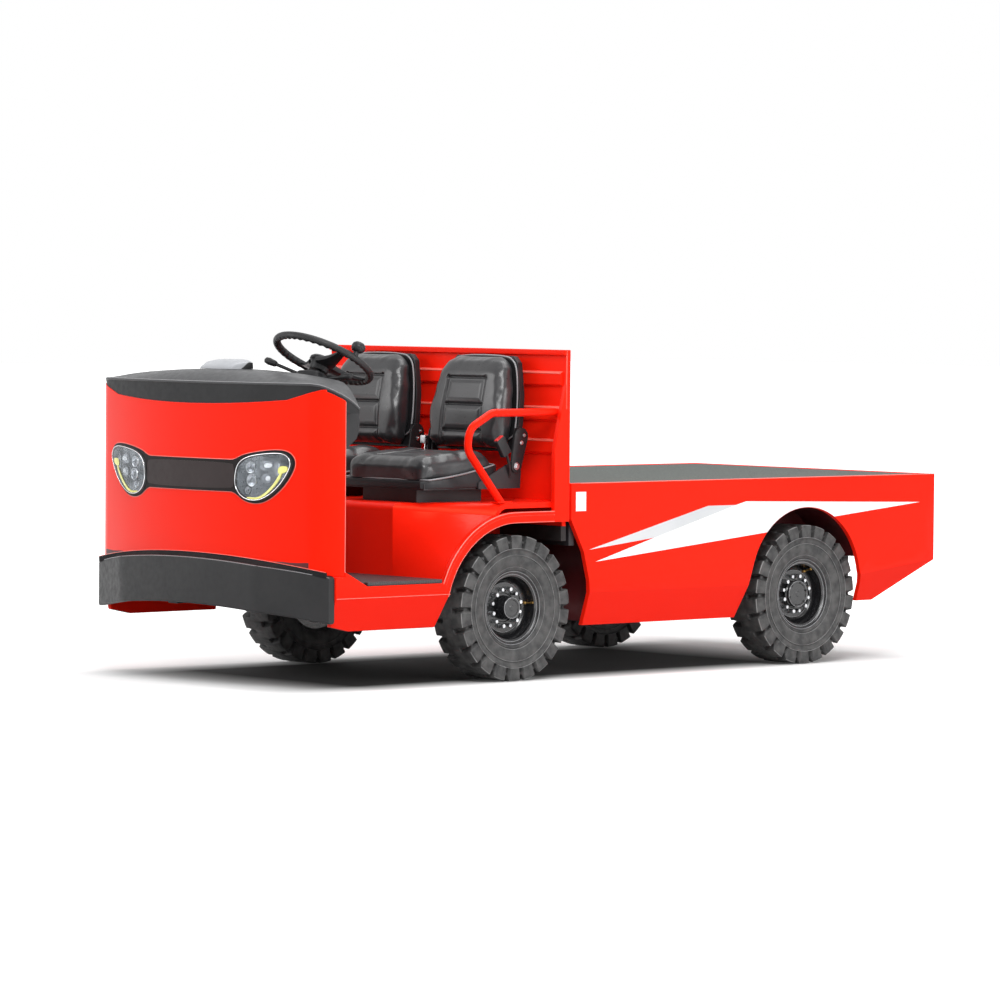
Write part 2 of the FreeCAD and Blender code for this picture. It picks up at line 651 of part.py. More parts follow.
def leaf_spring(y, seat_z):
    """Bowed leaf pack on the axle at y, hung from the rail by its two eyes."""
    eye_z = RAIL_BOTTOM - 26
    low = seat_z
    x0 = SPRING_X - SPRING_W / 2
    x1 = SPRING_X + SPRING_W / 2
    bow = slab_x([(y - SPRING_HALF, eye_z), ((y, low), (y + SPRING_HALF, eye_z)),
                  (y + SPRING_HALF, eye_z + SPRING_T), ((y, low + SPRING_T), (y - SPRING_HALF, eye_z + SPRING_T))],
                 x0, x1)
    hanger = box(x0, x1, y - SPRING_HALF - 30, y - SPRING_HALF + 20, eye_z - 20, RAIL_BOTTOM)
    hanger_2 = box(x0, x1, y + SPRING_HALF - 20, y + SPRING_HALF + 30, eye_z - 20, RAIL_BOTTOM)
    return fuse([bow, hanger, hanger_2])


@node
def leaf_springs():
    front = leaf_spring(AXLE_F, AXLE_Z + BEAM_SIZE / 2)
    rear = leaf_spring(AXLE_R, AXLE_Z + REAR_TUBE_R)
    return Part.makeCompound([front, mirror(front), rear, mirror(rear)])


def knuckle(side):
    half_eye = KINGPIN_EYE_H / 2
    lug_x1 = KNUCKLE_X + KNUCKLE_T
    pin = cyl((KINGPIN_X, AXLE_F, AXLE_Z - half_eye - LUG_T - 10), (0, 0, 1), KINGPIN_R,
              KINGPIN_EYE_H + 2 * LUG_T + 20)
    pieces = [pin]
    for z in (AXLE_Z - half_eye - THRUST_GAP - LUG_T, AXLE_Z + half_eye + THRUST_GAP):
        pieces.append(cyl((KINGPIN_X, AXLE_F, z), (0, 0, 1), KINGPIN_EYE_R, LUG_T))
        pieces.append(box(KINGPIN_X, lug_x1, AXLE_F - 28, AXLE_F + 28, z, z + LUG_T))
    web_h = half_eye + THRUST_GAP + LUG_T
    pieces.append(box(KNUCKLE_X, lug_x1, AXLE_F - 40, AXLE_F + 40, AXLE_Z - web_h, AXLE_Z + web_h))
    pieces.append(cyl((lug_x1 - 1, AXLE_F, AXLE_Z), (1, 0, 0), SPINDLE_R, WHEEL_X + 30 - lug_x1))
    arm_z = AXLE_Z - web_h
    pieces.append(slab_z([(KINGPIN_X - 18, AXLE_F), (KINGPIN_X + 30, AXLE_F), (KINGPIN_X + 18, AXLE_F + STEER_ARM),
                          ((KINGPIN_X, AXLE_F + STEER_ARM + 18), (KINGPIN_X - 18, AXLE_F + STEER_ARM))],
                         arm_z, arm_z + 16))
    body = fuse(pieces)
    return body if side > 0 else mirror(body)


@node
def knuckle_left():
    return knuckle(1)


@node
def knuckle_right():
    return knuckle(-1)


@node
def tie_rod():
    """Track rod under the two steering arms, flat eyes upward against them."""
    eye_top = AXLE_Z - KINGPIN_EYE_H / 2 - THRUST_GAP - LUG_T - FIT_GAP
    y = AXLE_F + STEER_ARM
    pieces = [cyl((-KINGPIN_X, y, eye_top - 16), (1, 0, 0), TIE_ROD_R, 2 * KINGPIN_X)]
    for s in (1, -1):
        pieces.append(cyl((s * KINGPIN_X, y, eye_top - 32), (0, 0, 1), 20, 32))
    return fuse(pieces)


# ---------------------------------------------------------------- wheels
LUGS = 22                        # shoulder blocks on each side of a tyre
LUG_SHARE = 0.70                 # of the pitch, the rest is the groove
LUG_ROOT_X = 40.0                # the grooves run out this far from the tyre's middle plane
LUG_DROP = 26.0                  # depth of a groove at the shoulder
LUG_REACH = 62.0                 # how far the blocks reach down the side wall


def tyre(side, y):
    """Ring of flat facets, one to each shoulder block and one to each groove between blocks."""
    pitch = 2 * math.pi / LUGS
    block = pitch * LUG_SHARE
    flat = 1 / math.cos(block / 2)           # puts the middle of each facet on the true radius
    bead = RIM_FLANGE_R + FIT_GAP
    inner = RIM_HALF_WIDTH - RIM_WALL - FIT_GAP
    tread, wall = TREAD_WIDTH / 2, TYRE_WIDTH / 2
    root = (LUG_ROOT_X, TYRE_R)
    foot = (wall, TYRE_R - LUG_REACH)
    below = [foot, (wall - 12, bead + 8), (inner, bead), (inner, RIM_SEAT_R + FIT_GAP)]
    crest = [(tread, TYRE_R), (wall, TYRE_R - LUG_DROP)] + below
    groove = [root, (wall - 6, TYRE_R - LUG_DROP)] + below

    def at(x, r, angle):
        r = r * flat
        return V(side * WHEEL_X + x, y + r * math.cos(angle), AXLE_Z + r * math.sin(angle))

    def facet(points):
        return Part.Face(Part.makePolygon(points + points[:1]))

    def across(xs, r, a0, a1):
        return facet([at(x, r, a0) for x in xs] + [at(x, r, a1) for x in reversed(xs)])

    faces = []
    for i in range(LUGS):
        a0 = i * pitch - math.pi / 2 - block / 2
        a1 = a0 + block
        a2 = a0 + pitch
        faces.append(across([-tread, -LUG_ROOT_X, LUG_ROOT_X, tread], TYRE_R, a0, a1))
        faces.append(across([-LUG_ROOT_X, LUG_ROOT_X], TYRE_R, a1, a2))
        for start, end in ((a0, a1), (a1, a2)):
            faces.append(across([-inner, inner], RIM_SEAT_R + FIT_GAP, start, end))
        for s in (1, -1):
            for profile, start, end in ((crest, a0, a1), (groove, a1, a2)):
                for (x0, r0), (x1, r1) in zip(profile, profile[1:]):
                    faces.append(facet([at(s * x0, r0, start), at(s * x1, r1, start),
                                        at(s * x1, r1, end), at(s * x0, r0, end)]))
            flank = [root, crest[0], crest[1], foot, groove[1]]
            for angle in (a0, a1):
                faces.append(facet([at(s * x, r, angle) for x, r in flank]))
    shell = Part.makeShell(faces)
    shell.sewShape()
    return Part.makeSolid(shell)


def rim(side, y, cap_out, cap_r):
    w, t = RIM_HALF_WIDTH, RIM_WALL
    outer = [(-w, RIM_FLANGE_R), (-w + t, RIM_FLANGE_R), (-w + t, RIM_SEAT_R), (w - t, RIM_SEAT_R),
             (w - t, RIM_FLANGE_R), (w, RIM_FLANGE_R), (w, RIM_SEAT_R - t)]
    disc = [(DISC_OUT, RIM_SEAT_R - t), (DISC_OUT, HUB_R)]
    hub = [(cap_out - 8, HUB_R), (cap_out - 8, cap_r), (cap_out, cap_r), (cap_out, 0), (cap_out - 10, 0),
           (cap_out - 10, SPINDLE_R + RUNNING_GAP), (-24, SPINDLE_R + RUNNING_GAP), (-24, HUB_R),
           (DISC_OUT - DISC_T, HUB_R), (DISC_OUT - DISC_T, RIM_SEAT_R - t), (-w, RIM_SEAT_R - t)]
    profile = [(side * a, b) for a, b in outer + disc + hub]
    return revolve_x(profile, (side * WHEEL_X, y, AXLE_Z))


def make_wheel(tag, side, y, cap_out, cap_r):
    NODES["tyre_" + tag] = lambda: tyre(side, y)
    NODES["rim_" + tag] = lambda: rim(side, y, cap_out, cap_r)


make_wheel("front_left", 1, AXLE_F, HUB_OUT, HUB_R)
make_wheel("front_right", -1, AXLE_F, HUB_OUT, HUB_R)
make_wheel("rear_left", 1, AXLE_R, HUB_OUT - 10, HUB_R + 10)
make_wheel("rear_right", -1, AXLE_R, HUB_OUT - 10, HUB_R + 10)


# ---------------------------------------------------------------- steering wheel and column
STEER_HUB = V(304, COWL_BACK + 165, COWL_EDGE_HEIGHT + 70)
STEER_LEAN = 28.0                # column lean from upright, degrees
STEER_R = 212.0
STEER_GRIP_R = 15.0
SPOKES = (18, 198, 288)          # turn of each spoke from the truck's left, seen from above the rim
KNOB = 3                         # and of the spinner knob
COLUMN_SHROUD_R = 42.0
COLUMN_R = 24.0
STALK_LEFT = 255.0
STALK_RIGHT = 200.0
COLUMN_TOP = 46.0                # hub centre down to the shroud's top
SHAFT_R = 11.0


def column_axis():
    lean = math.radians(STEER_LEAN)
    return V(0, math.sin(lean), math.cos(lean))


def column_line(radius, length):
    """Cylinder on the column's axis, from the top of the shroud downwards."""
    axis = column_axis()
    top = STEER_HUB - axis * COLUMN_TOP
    return Part.makeCylinder(radius, length, top, axis * -1)


@node
def steering_column():
    axis = column_axis()
    shroud = column_line(COLUMN_SHROUD_R, 130)
    post = column_line(COLUMN_R, 330)
    foot = column_line(COLUMN_SHROUD_R, 330).cut(column_line(COLUMN_SHROUD_R + 1, 250))
    middle = STEER_HUB - axis * (COLUMN_TOP + 30)
    stalk_l = Part.makeCylinder(7, STALK_LEFT, middle, V(-0.93, -0.2, 0.3))
    stalk_r = Part.makeCylinder(7, STALK_RIGHT, middle, V(0.99, 0.1, 0.1))
    body = fuse([shroud, post, foot, stalk_l, stalk_r])
    return body.cut(column_line(SHAFT_R + RUNNING_GAP, 40))


@node
def steering_wheel():
    axis = column_axis()
    grip = Part.makeTorus(STEER_R - STEER_GRIP_R, STEER_GRIP_R, STEER_HUB + axis * 22, axis)
    hub = Part.makeCylinder(34, 44, STEER_HUB - axis * 34, axis)
    shaft = Part.makeCylinder(SHAFT_R, 60, STEER_HUB - axis * 84, axis)
    pieces = [grip, hub, shaft]
    across = V(1, 0, 0)
    up = across.cross(axis)
    reach = STEER_R - STEER_GRIP_R
    for degrees in SPOKES:
        a = math.radians(degrees)
        direction = across * math.cos(a) + up * math.sin(a)
        start = STEER_HUB - axis * 4 + direction * 20
        end = STEER_HUB + axis * 22 + direction * reach
        pieces.append(Part.makeCylinder(9, (end - start).Length, start, end - start))
    a = math.radians(KNOB)
    knob_at = STEER_HUB + axis * 22 + (across * math.cos(a) + up * math.sin(a)) * reach
    pieces.append(Part.makeCylinder(22, 52, knob_at + axis * 8, axis))
    return fuse(pieces)


POD_SIZE = (208.0, 120.0, 62.0)
POD_X = -10.0


@node
def instrument_pod():
    w, d, h = POD_SIZE
    y1 = COWL_BACK - 10
    base = COWL_EDGE_HEIGHT + COWL_CROWN
    outline = [(y1 - d, base), (y1 - d + 30, base + h * 0.5), (y1 - 30, base + h * 0.5), (y1, base)]
    return slab_x(outline, POD_X - w / 2, POD_X + w / 2)


@node
def pedals():
    pieces = []
    for x, w in ((210.0, 80.0), (390.0, 60.0)):
        y = FRONT + 150
        plate = slab_x([(y, FLOOR_HEIGHT + 150), (y + 14, FLOOR_HEIGHT + 150), (y + 90, FLOOR_HEIGHT + 30),
                        (y + 90, FLOOR_HEIGHT), (y + 60, FLOOR_HEIGHT), (y + 60, FLOOR_HEIGHT + 30)],
                       x - w / 2, x + w / 2)
        pieces.append(plate)
    return Part.makeCompound(pieces)


# ---------------------------------------------------------------- seats
SEAT_X = 317.0
CUSHION_W = 508.0
CUSHION_FRONT = AXLE_F - 386.0
CUSHION_REAR = AXLE_F + 32.0
CUSHION_BOTTOM = SEAT_DECK_HEIGHT + 78
CUSHION_TOP = CUSHION_BOTTOM + 92
PAN_T = 26.0
HINGE = (AXLE_F + 102, CUSHION_BOTTOM + 63)
HINGE_R = 9.0
BRACKET_T = 8.0
BRACKET_X = CUSHION_W / 2 - 2


def place_seats(make):
    return Part.makeCompound([make(SEAT_X), make(-SEAT_X)])


@node
def seat_frames():
    def one(x):
        pan = box(x - CUSHION_W / 2 + 6, x + CUSHION_W / 2 - 6, CUSHION_FRONT + 6, CUSHION_REAR - 4,
                  CUSHION_BOTTOM - PAN_T, CUSHION_BOTTOM)
        base = box(x - 165, x + 165, CUSHION_FRONT + 40, CUSHION_REAR - 30,
                   SEAT_DECK_HEIGHT, CUSHION_BOTTOM - PAN_T)
        pieces = [pan, base]
        y, z = HINGE
        for s in (1, -1):
            x0, x1 = sorted((x + s * BRACKET_X, x + s * (BRACKET_X + BRACKET_T)))
            plate = slab_x([(CUSHION_REAR - 130, CUSHION_BOTTOM - PAN_T), (y + 26, CUSHION_BOTTOM - PAN_T),
                            (y + 32, z), (y + 8, z + 34), (y - 30, z + 14),
                            (CUSHION_REAR - 130, CUSHION_BOTTOM)],
                           x0, x1)
            foot = box(min(x + s * (BRACKET_X - 12), x + s * (BRACKET_X + BRACKET_T)),
                       max(x + s * (BRACKET_X - 12), x + s * (BRACKET_X + BRACKET_T)),
                       CUSHION_REAR - 120, CUSHION_REAR - 4, CUSHION_BOTTOM - PAN_T, CUSHION_BOTTOM - PAN_T + 8)
            pin = cyl((x + s * (BRACKET_X - 14), y, z), (s, 0, 0), HINGE_R, 14 + BRACKET_T)
            pieces += [plate, foot, pin]
        return fuse(pieces)
    return place_seats(one)


@node
def seat_cushions():
    def one(x):
        w = CUSHION_W / 2 - 4
        outline = [(CUSHION_FRONT, CUSHION_BOTTOM + FIT_GAP), (CUSHION_FRONT - 4, CUSHION_TOP - 16),
                   (CUSHION_FRONT + 30, CUSHION_TOP + 9), (CUSHION_REAR - 135, CUSHION_TOP + 30),
                   (CUSHION_REAR - 85, CUSHION_TOP + 30), (CUSHION_REAR - 38, CUSHION_TOP + 6),
                   (CUSHION_REAR, CUSHION_BOTTOM + 76), (CUSHION_REAR, CUSHION_BOTTOM + FIT_GAP)]
        return slab_x(outline, x - w, x + w)
    return place_seats(one)


BACK_LEAN = 8.0
BACK_BASE = (CUSHION_REAR - 17, CUSHION_BOTTOM + 136)
BACK_H = 390.0
PAD_T = 99.0
SHELL_T = 26.0
BACK_W_LOW = 480.0
BACK_W_TOP = 400.0


def back_slab(x, y0, y1, grow):
    """Part of a backrest between two depths from its front face, before it is leaned back."""
    y, z = BACK_BASE
    low, high = BACK_W_LOW / 2 + grow, BACK_W_TOP / 2 + grow
    outline = [(x - low, z), (x - low - 6, z + 120), (x - low + 4, z + 230), (x - high, z + BACK_H - 26),
               (x - high + 30, z + BACK_H), (x + high - 30, z + BACK_H), (x + high, z + BACK_H - 26),
               (x + low - 4, z + 230), (x + low + 6, z + 120), (x + low, z)]
    piece = slab_y(outline, y + y0, y + y1)
    piece.rotate(V(0, y, z), V(1, 0, 0), -BACK_LEAN)
    return piece


def backrest_shell(x):
    shell = back_slab(x, PAD_T + FIT_GAP, PAD_T + FIT_GAP + SHELL_T, 0)
    y, z = HINGE
    pieces = [shell]
    for s in (1, -1):
        x0, x1 = sorted((x + s * (BRACKET_X - 2 - BRACKET_T), x + s * (BRACKET_X - 2)))
        arm = slab_x([(y - 16, z - 16), (y + 16, z - 16), (y + 37, z + 155), (y + 4, z + 155)], x0, x1)
        pieces.append(arm.cut(cyl((x0 - 1, y, z), (1, 0, 0), HINGE_R + RUNNING_GAP, BRACKET_T + 2)))
    return fuse(pieces)


@node
def backrest_shell_left():
    return backrest_shell(SEAT_X)


@node
def backrest_shell_right():
    return backrest_shell(-SEAT_X)


@node
def backrest_pad_left():
    return back_slab(SEAT_X, 0, PAD_T, -10)


@node
def backrest_pad_right():
    return back_slab(-SEAT_X, 0, PAD_T, -10)


def main():
    os.makedirs("parts", exist_ok=True)
    for name, make in NODES.items():
        shape = make()
        shape.exportStep("parts/" + name + ".step")
        box_ = shape.BoundBox
        print("%-22s solids %d valid %s vol %.0f cm3  x %.0f..%.0f y %.0f..%.0f z %.0f..%.0f" % (
            name, len(shape.Solids), shape.isValid(), shape.Volume / 1000, box_.XMin, box_.XMax,
            box_.YMin, box_.YMax, box_.ZMin, box_.ZMax))


main()
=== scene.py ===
import json
import math

import bmesh
import bpy
from mathutils import Matrix, Vector


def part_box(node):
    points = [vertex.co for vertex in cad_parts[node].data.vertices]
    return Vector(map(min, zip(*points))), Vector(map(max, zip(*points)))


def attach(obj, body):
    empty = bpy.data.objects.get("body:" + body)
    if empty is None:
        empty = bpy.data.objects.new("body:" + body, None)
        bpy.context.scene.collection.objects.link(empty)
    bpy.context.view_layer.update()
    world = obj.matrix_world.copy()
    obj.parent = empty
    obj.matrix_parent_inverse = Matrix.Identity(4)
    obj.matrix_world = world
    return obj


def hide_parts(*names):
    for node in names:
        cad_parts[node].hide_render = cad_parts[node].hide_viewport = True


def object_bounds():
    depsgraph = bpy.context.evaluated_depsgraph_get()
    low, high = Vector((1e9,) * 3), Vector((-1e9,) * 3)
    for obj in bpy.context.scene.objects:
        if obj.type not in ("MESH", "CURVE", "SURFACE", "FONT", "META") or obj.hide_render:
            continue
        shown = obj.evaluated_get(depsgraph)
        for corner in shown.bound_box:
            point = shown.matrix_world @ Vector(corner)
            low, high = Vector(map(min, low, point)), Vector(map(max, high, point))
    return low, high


# Finish, soft parts and small details of an electric platform truck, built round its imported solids.
# Metres, +Z up, the truck's front faces -Y and its left side, where the driver sits, is +X.

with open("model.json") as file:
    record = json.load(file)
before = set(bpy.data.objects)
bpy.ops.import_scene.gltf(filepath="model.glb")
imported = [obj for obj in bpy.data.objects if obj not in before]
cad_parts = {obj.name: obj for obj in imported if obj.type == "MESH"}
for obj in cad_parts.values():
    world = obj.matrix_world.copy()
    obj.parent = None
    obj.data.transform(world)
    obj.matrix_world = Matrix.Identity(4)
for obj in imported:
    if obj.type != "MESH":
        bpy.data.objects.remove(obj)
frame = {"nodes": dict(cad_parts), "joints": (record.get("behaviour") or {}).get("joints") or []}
CAD_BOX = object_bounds()

LOW, HIGH = CAD_BOX
SIDE = HIGH.x                                  # outer face of the body sides
FRONT = LOW.y
REAR = HIGH.y
PROUD = 0.0008                                 # decals and paint lines over the panel they lie on
SIDES = (("left", 1), ("right", -1))


def axis_of(wheel):
    """Centre of a wheel's tyre."""
    lo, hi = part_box("tyre_" + wheel)
    return (lo + hi) / 2


FRONT_HUB = axis_of("front_left")
REAR_HUB = axis_of("rear_left")
TYRE_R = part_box("tyre_front_left")[1].z / 2
WALL = (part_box("tyre_front_left")[1].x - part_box("tyre_front_left")[0].x) / 2      # half a tyre's width


def flange_of(hub):
    """Radius of a rim's flange, where its tyre's bead begins."""
    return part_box("rim_front_left")[1].z - hub.z


# ---------------- materials
def new_material(name):
    m = bpy.data.materials.new(name)
    m.use_nodes = True
    tree = m.node_tree
    return m, tree, tree.nodes["Principled BSDF"]


def add(tree, kind, **values):
    """A node with its properties and plain input values set."""
    made = tree.nodes.new(kind)
    for key, value in values.items():
        if key in made.inputs:
            made.inputs[key].default_value = value
        else:
            setattr(made, key, value)
    return made


def noise(tree, scale, detail=4.0, stretch=(1, 1, 1)):
    """Noise over the object's own coordinates, in metres; returns its value socket."""
    where = add(tree, "ShaderNodeTexCoord")
    mapping = add(tree, "ShaderNodeMapping")
    mapping.inputs["Scale"].default_value = stretch
    made = add(tree, "ShaderNodeTexNoise", Scale=scale, Detail=detail)
    tree.links.new(where.outputs["Object"], mapping.inputs["Vector"])
    tree.links.new(mapping.outputs["Vector"], made.inputs["Vector"])
    return made.outputs["Fac"]


def between(tree, value, low, high, out_low, out_high):
    """Value mapped from low..high to out_low..out_high."""
    made = add(tree, "ShaderNodeMapRange")
    for key, number in (("From Min", low), ("From Max", high), ("To Min", out_low), ("To Max", out_high)):
        made.inputs[key].default_value = number
    tree.links.new(value, made.inputs["Value"])
    return made.outputs["Result"]


def blend_colours(tree, value, a, b):
    """Colour that goes from a to b as value goes from 0 to 1."""
    made = tree.nodes.new("ShaderNodeMix")
    made.data_type = "RGBA"
    made.inputs[6].default_value = (*a, 1)
    made.inputs[7].default_value = (*b, 1)
    tree.links.new(value, made.inputs[0])
    return made.outputs[2]


def bump(tree, shader, height, strength, distance):
    made = add(tree, "ShaderNodeBump", Strength=strength, Distance=distance)
    tree.links.new(height, made.inputs["Height"])
    tree.links.new(made.outputs["Normal"], shader.inputs["Normal"])


def finish_of(name, colour, other, rough, metallic=0.0, coat=0.0, patch=6.0, grain=900.0, depth=0.0002,
        relief=0.25, specular=0.3, uneven=0.15, tint=(1, 1, 1)):
    """A moulded or painted finish: two close colours in soft patches, uneven gloss and a fine grain."""
    m, tree, shader = new_material(name)
    shader.inputs["Metallic"].default_value = metallic
    shader.inputs["Coat Weight"].default_value = coat
    shader.inputs["Coat Roughness"].default_value = 0.08
    shader.inputs["Specular IOR Level"].default_value = specular
    shader.inputs["Specular Tint"].default_value = (*tint, 1)
    patches = noise(tree, patch, 5)
    tree.links.new(blend_colours(tree, between(tree, patches, 0.35, 0.65, 0, 1), colour, other),
        shader.inputs["Base Color"])
    tree.links.new(between(tree, noise(tree, patch * 7, 6), 0.3, 0.7, rough * (1 - uneven),
        min(1, rough * (1 + uneven))), shader.inputs["Roughness"])
    bump(tree, shader, noise(tree, grain, 3), relief, depth)
    return m


def ribbed(name, colour, other, pitch, direction, rough, depth=0.0015):
    """Rubber with parallel ribs along the surface and worn, dusty patches."""
    m, tree, shader = new_material(name)
    where = add(tree, "ShaderNodeTexCoord")
    period_at_unit_scale = 2 * math.pi / 20
    wave = add(tree, "ShaderNodeTexWave", bands_direction=direction, Scale=period_at_unit_scale / pitch)
    tree.links.new(where.outputs["Object"], wave.inputs["Vector"])
    speckle = noise(tree, 260, 6, (1, 0.35, 1))
    tree.links.new(blend_colours(tree, between(tree, speckle, 0.42, 0.6, 0, 1), colour, other),
        shader.inputs["Base Color"])
    shader.inputs["Roughness"].default_value = rough
    bump(tree, shader, wave.outputs["Fac"], 0.6, depth)
    return m


def make_materials():
    f = finish_of
    made = {
        "red": f("red_paint", (0.98, 0.016, 0.005), (0.95, 0.014, 0.004), 0.3, patch=1.2, grain=300,
                 depth=0.00003, relief=0.03, specular=0.24, uneven=0.04, tint=(1, 0.26, 0.12)),
        # Pale pink red for thin beads and strips along edges: a painted highlight of the red paint.
        "red_highlight": f("red_highlight", (0.95, 0.16, 0.12), (0.93, 0.13, 0.1), 0.16, coat=0.8, patch=2, grain=300,
                      depth=0.00003, relief=0.03, uneven=0.05),
        # Darker, less glossy copy of the red paint for the low band that faces down: painted shade.
        "red_underside_shade": f("red_underside_shade", (0.88, 0.018, 0.008), (0.85, 0.016, 0.007), 0.36, patch=1.2, grain=300,
                     depth=0.00003, relief=0.03, specular=0.14, uneven=0.04, tint=(1, 0.3, 0.15)),
        # Very dark red: painted shade for red body parts that lie in shade, on the cab floor, front walls, wheel
        # boxes and nose tray.
        "red_in_shade": f("dark_red_paint", (0.085, 0.006, 0.008), (0.055, 0.005, 0.006), 0.42, coat=0.05, patch=5),
        "black": f("black_plastic", (0.011, 0.011, 0.012), (0.017, 0.017, 0.019), 0.42, grain=1500, relief=0.3,
                   specular=0.26),
        # One black plastic: near black on the band below the lip, lighter grey on the up-facing dome as a
        # painted reflection.
        "cowl": f("cowl_plastic", (0.042, 0.043, 0.045), (0.054, 0.055, 0.058), 0.42, grain=1300, relief=0.3),
        "cowl_band": f("cowl_band", (0.009, 0.009, 0.01), (0.013, 0.013, 0.014), 0.5, grain=1300, relief=0.3,
                       specular=0.2),
        "bumper": f("bumper_plastic", (0.015, 0.015, 0.016), (0.021, 0.021, 0.022), 0.5, grain=1100, relief=0.3,
                    specular=0.24),
        "ledge": f("bumper_ledge", (0.018, 0.018, 0.019), (0.024, 0.024, 0.025), 0.85, grain=1100, relief=0.3,
                   specular=0.05),
        # Pale grey for thin lines along the black plastics' edges: a painted highlight.
        "trim_highlight": f("trim_highlight", (0.3, 0.3, 0.31), (0.24, 0.24, 0.25), 0.3, grain=1100, relief=0.2),
        "mask": f("mask_plastic", (0.006, 0.004, 0.004), (0.009, 0.006, 0.006), 0.45, grain=1400, relief=0.2,
                  specular=0.12),
        "band": f("band_plastic", (0.02, 0.012, 0.012), (0.026, 0.016, 0.016), 0.45, grain=1400, relief=0.2,
                  specular=0.2),
        # Near black for faces inside the front arches and a plate on the bulkhead's lower end: painted shade on
        # red parts.
        "arch_shade": f("shade_plastic", (0.01, 0.008, 0.008), (0.016, 0.013, 0.013), 0.6, grain=900, relief=0.3),
        "steel": f("frame_paint", (0.014, 0.012, 0.014), (0.022, 0.02, 0.022), 0.42, grain=700, relief=0.3),
        "rim": f("rim_paint", (0.008, 0.008, 0.009), (0.013, 0.013, 0.014), 0.22, coat=0.35, grain=500,
                 relief=0.12, specular=0.45),
        # Pale grey for thin rings on the black rims' edges: a painted highlight.
        "rim_highlight": f("rim_highlight", (0.34, 0.34, 0.35), (0.26, 0.26, 0.27), 0.24, grain=600, relief=0.15),
        "vinyl": f("seat_vinyl", (0.02, 0.02, 0.022), (0.03, 0.03, 0.032), 0.32, coat=0.12, patch=14,
            grain=1150, depth=0.0004, relief=0.3, specular=0.45),
        "tyre": f("tyre_rubber", (0.034, 0.034, 0.035), (0.084, 0.083, 0.082), 0.55, patch=26, grain=420,
                  depth=0.0009, relief=0.6),
        # Pale grey rubber for lug corners and rings on the tyre's side: a painted highlight.
        "tyre_highlight": f("tyre_lug_highlight", (0.26, 0.26, 0.26), (0.14, 0.14, 0.14), 0.5, patch=30, grain=500,
                       depth=0.0006, relief=0.4),
        "rubber": f("small_rubber", (0.012, 0.012, 0.013), (0.02, 0.02, 0.021), 0.5, grain=900, relief=0.4),
        "pod": f("pod_plastic", (0.34, 0.35, 0.37), (0.42, 0.43, 0.45), 0.36, grain=1200, relief=0.2),
        "zinc": f("zinc_plating", (0.66, 0.67, 0.68), (0.5, 0.51, 0.53), 0.28, metallic=1.0, patch=60,
                  grain=1500, relief=0.2),
        "brass": f("brass", (0.74, 0.46, 0.16), (0.6, 0.34, 0.1), 0.32, metallic=1.0, patch=60),
        "chrome": f("chrome", (0.88, 0.89, 0.9), (0.8, 0.81, 0.83), 0.1, metallic=1.0, patch=30,
                    relief=0.05),
        "battery": f("battery_case", (0.055, 0.056, 0.06), (0.075, 0.076, 0.08), 0.5, grain=800, relief=0.3),
        "white": f("white_film", (0.97, 0.97, 0.97), (0.94, 0.94, 0.95), 0.3, patch=1.5, relief=0.03),
        "grey_film": f("grey_film", (0.56, 0.58, 0.6), (0.84, 0.84, 0.85), 0.3, patch=1.0, relief=0.03),
        "red_lens": f("red_lens", (0.42, 0.006, 0.008), (0.55, 0.01, 0.01), 0.12, coat=0.6, grain=300,
                      relief=0.2),
        "amber_lens": f("amber_lens", (0.75, 0.22, 0.01), (0.85, 0.28, 0.02), 0.12, coat=0.6, grain=300,
                        relief=0.2),
        "red_button": f("red_button", (0.62, 0.01, 0.01), (0.7, 0.014, 0.012), 0.3, relief=0.1),
        "yellow": f("yellow_strip", (0.72, 0.66, 0.14), (0.84, 0.78, 0.26), 0.25, coat=0.4, relief=0.05),
        "piping": f("seat_piping", (0.2, 0.2, 0.21), (0.28, 0.28, 0.29), 0.4, grain=900, relief=0.2),
        "reflector": f("lamp_reflector", (0.2, 0.21, 0.22), (0.07, 0.075, 0.08), 0.25, metallic=1.0, patch=16,
                       relief=0.05),
        "bowl": f("lamp_bowl", (0.34, 0.35, 0.37), (0.16, 0.17, 0.18), 0.2, metallic=1.0, patch=40,
            relief=0.05),
        "mat": ribbed("floor_rubber", (0.014, 0.012, 0.013), (0.04, 0.032, 0.035), 0.012, "Y", 0.5),
        "deck": ribbed("deck_rubber", (0.018, 0.022, 0.019), (0.08, 0.094, 0.082), 0.014, "X", 0.66, 0.003),
    }
    made["lens"] = clear_lens()
    return made


def clear_lens():
    m, tree, shader = new_material("clear_lens")
    shader.inputs["Base Color"].default_value = (0.92, 0.94, 0.96, 1)
    shader.inputs["Transmission Weight"].default_value = 1.0
    shader.inputs["IOR"].default_value = 1.12
    tree.links.new(between(tree, noise(tree, 90, 3), 0.3, 0.7, 0.01, 0.05), shader.inputs["Roughness"])
    bump(tree, shader, noise(tree, 45, 2), 0.08, 0.0006)
    return m


MAT = make_materials()


# ---------------- mesh helpers
def linked(name, data):
    """New object in the scene."""
    obj = bpy.data.objects.new(name, data)
    bpy.context.scene.collection.objects.link(obj)
    return obj


def as_object(name, mesh, material, body="chassis", smooth=30):
    """New piece with one material; smooth is the angle over which its edges stay sharp, 0 for flat faces."""
    obj = linked(name, mesh)
    mesh.materials.clear()
    mesh.materials.append(MAT[material])
    if smooth:
        mesh.shade_smooth()
        mesh.set_sharp_from_angle(angle=math.radians(smooth))
    if body:
        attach(obj, body)
    return obj


def from_data(name, verts, faces):
    mesh = bpy.data.meshes.new(name)
    mesh.from_pydata([tuple(v) for v in verts], [], faces)
    mesh.update()
    return mesh


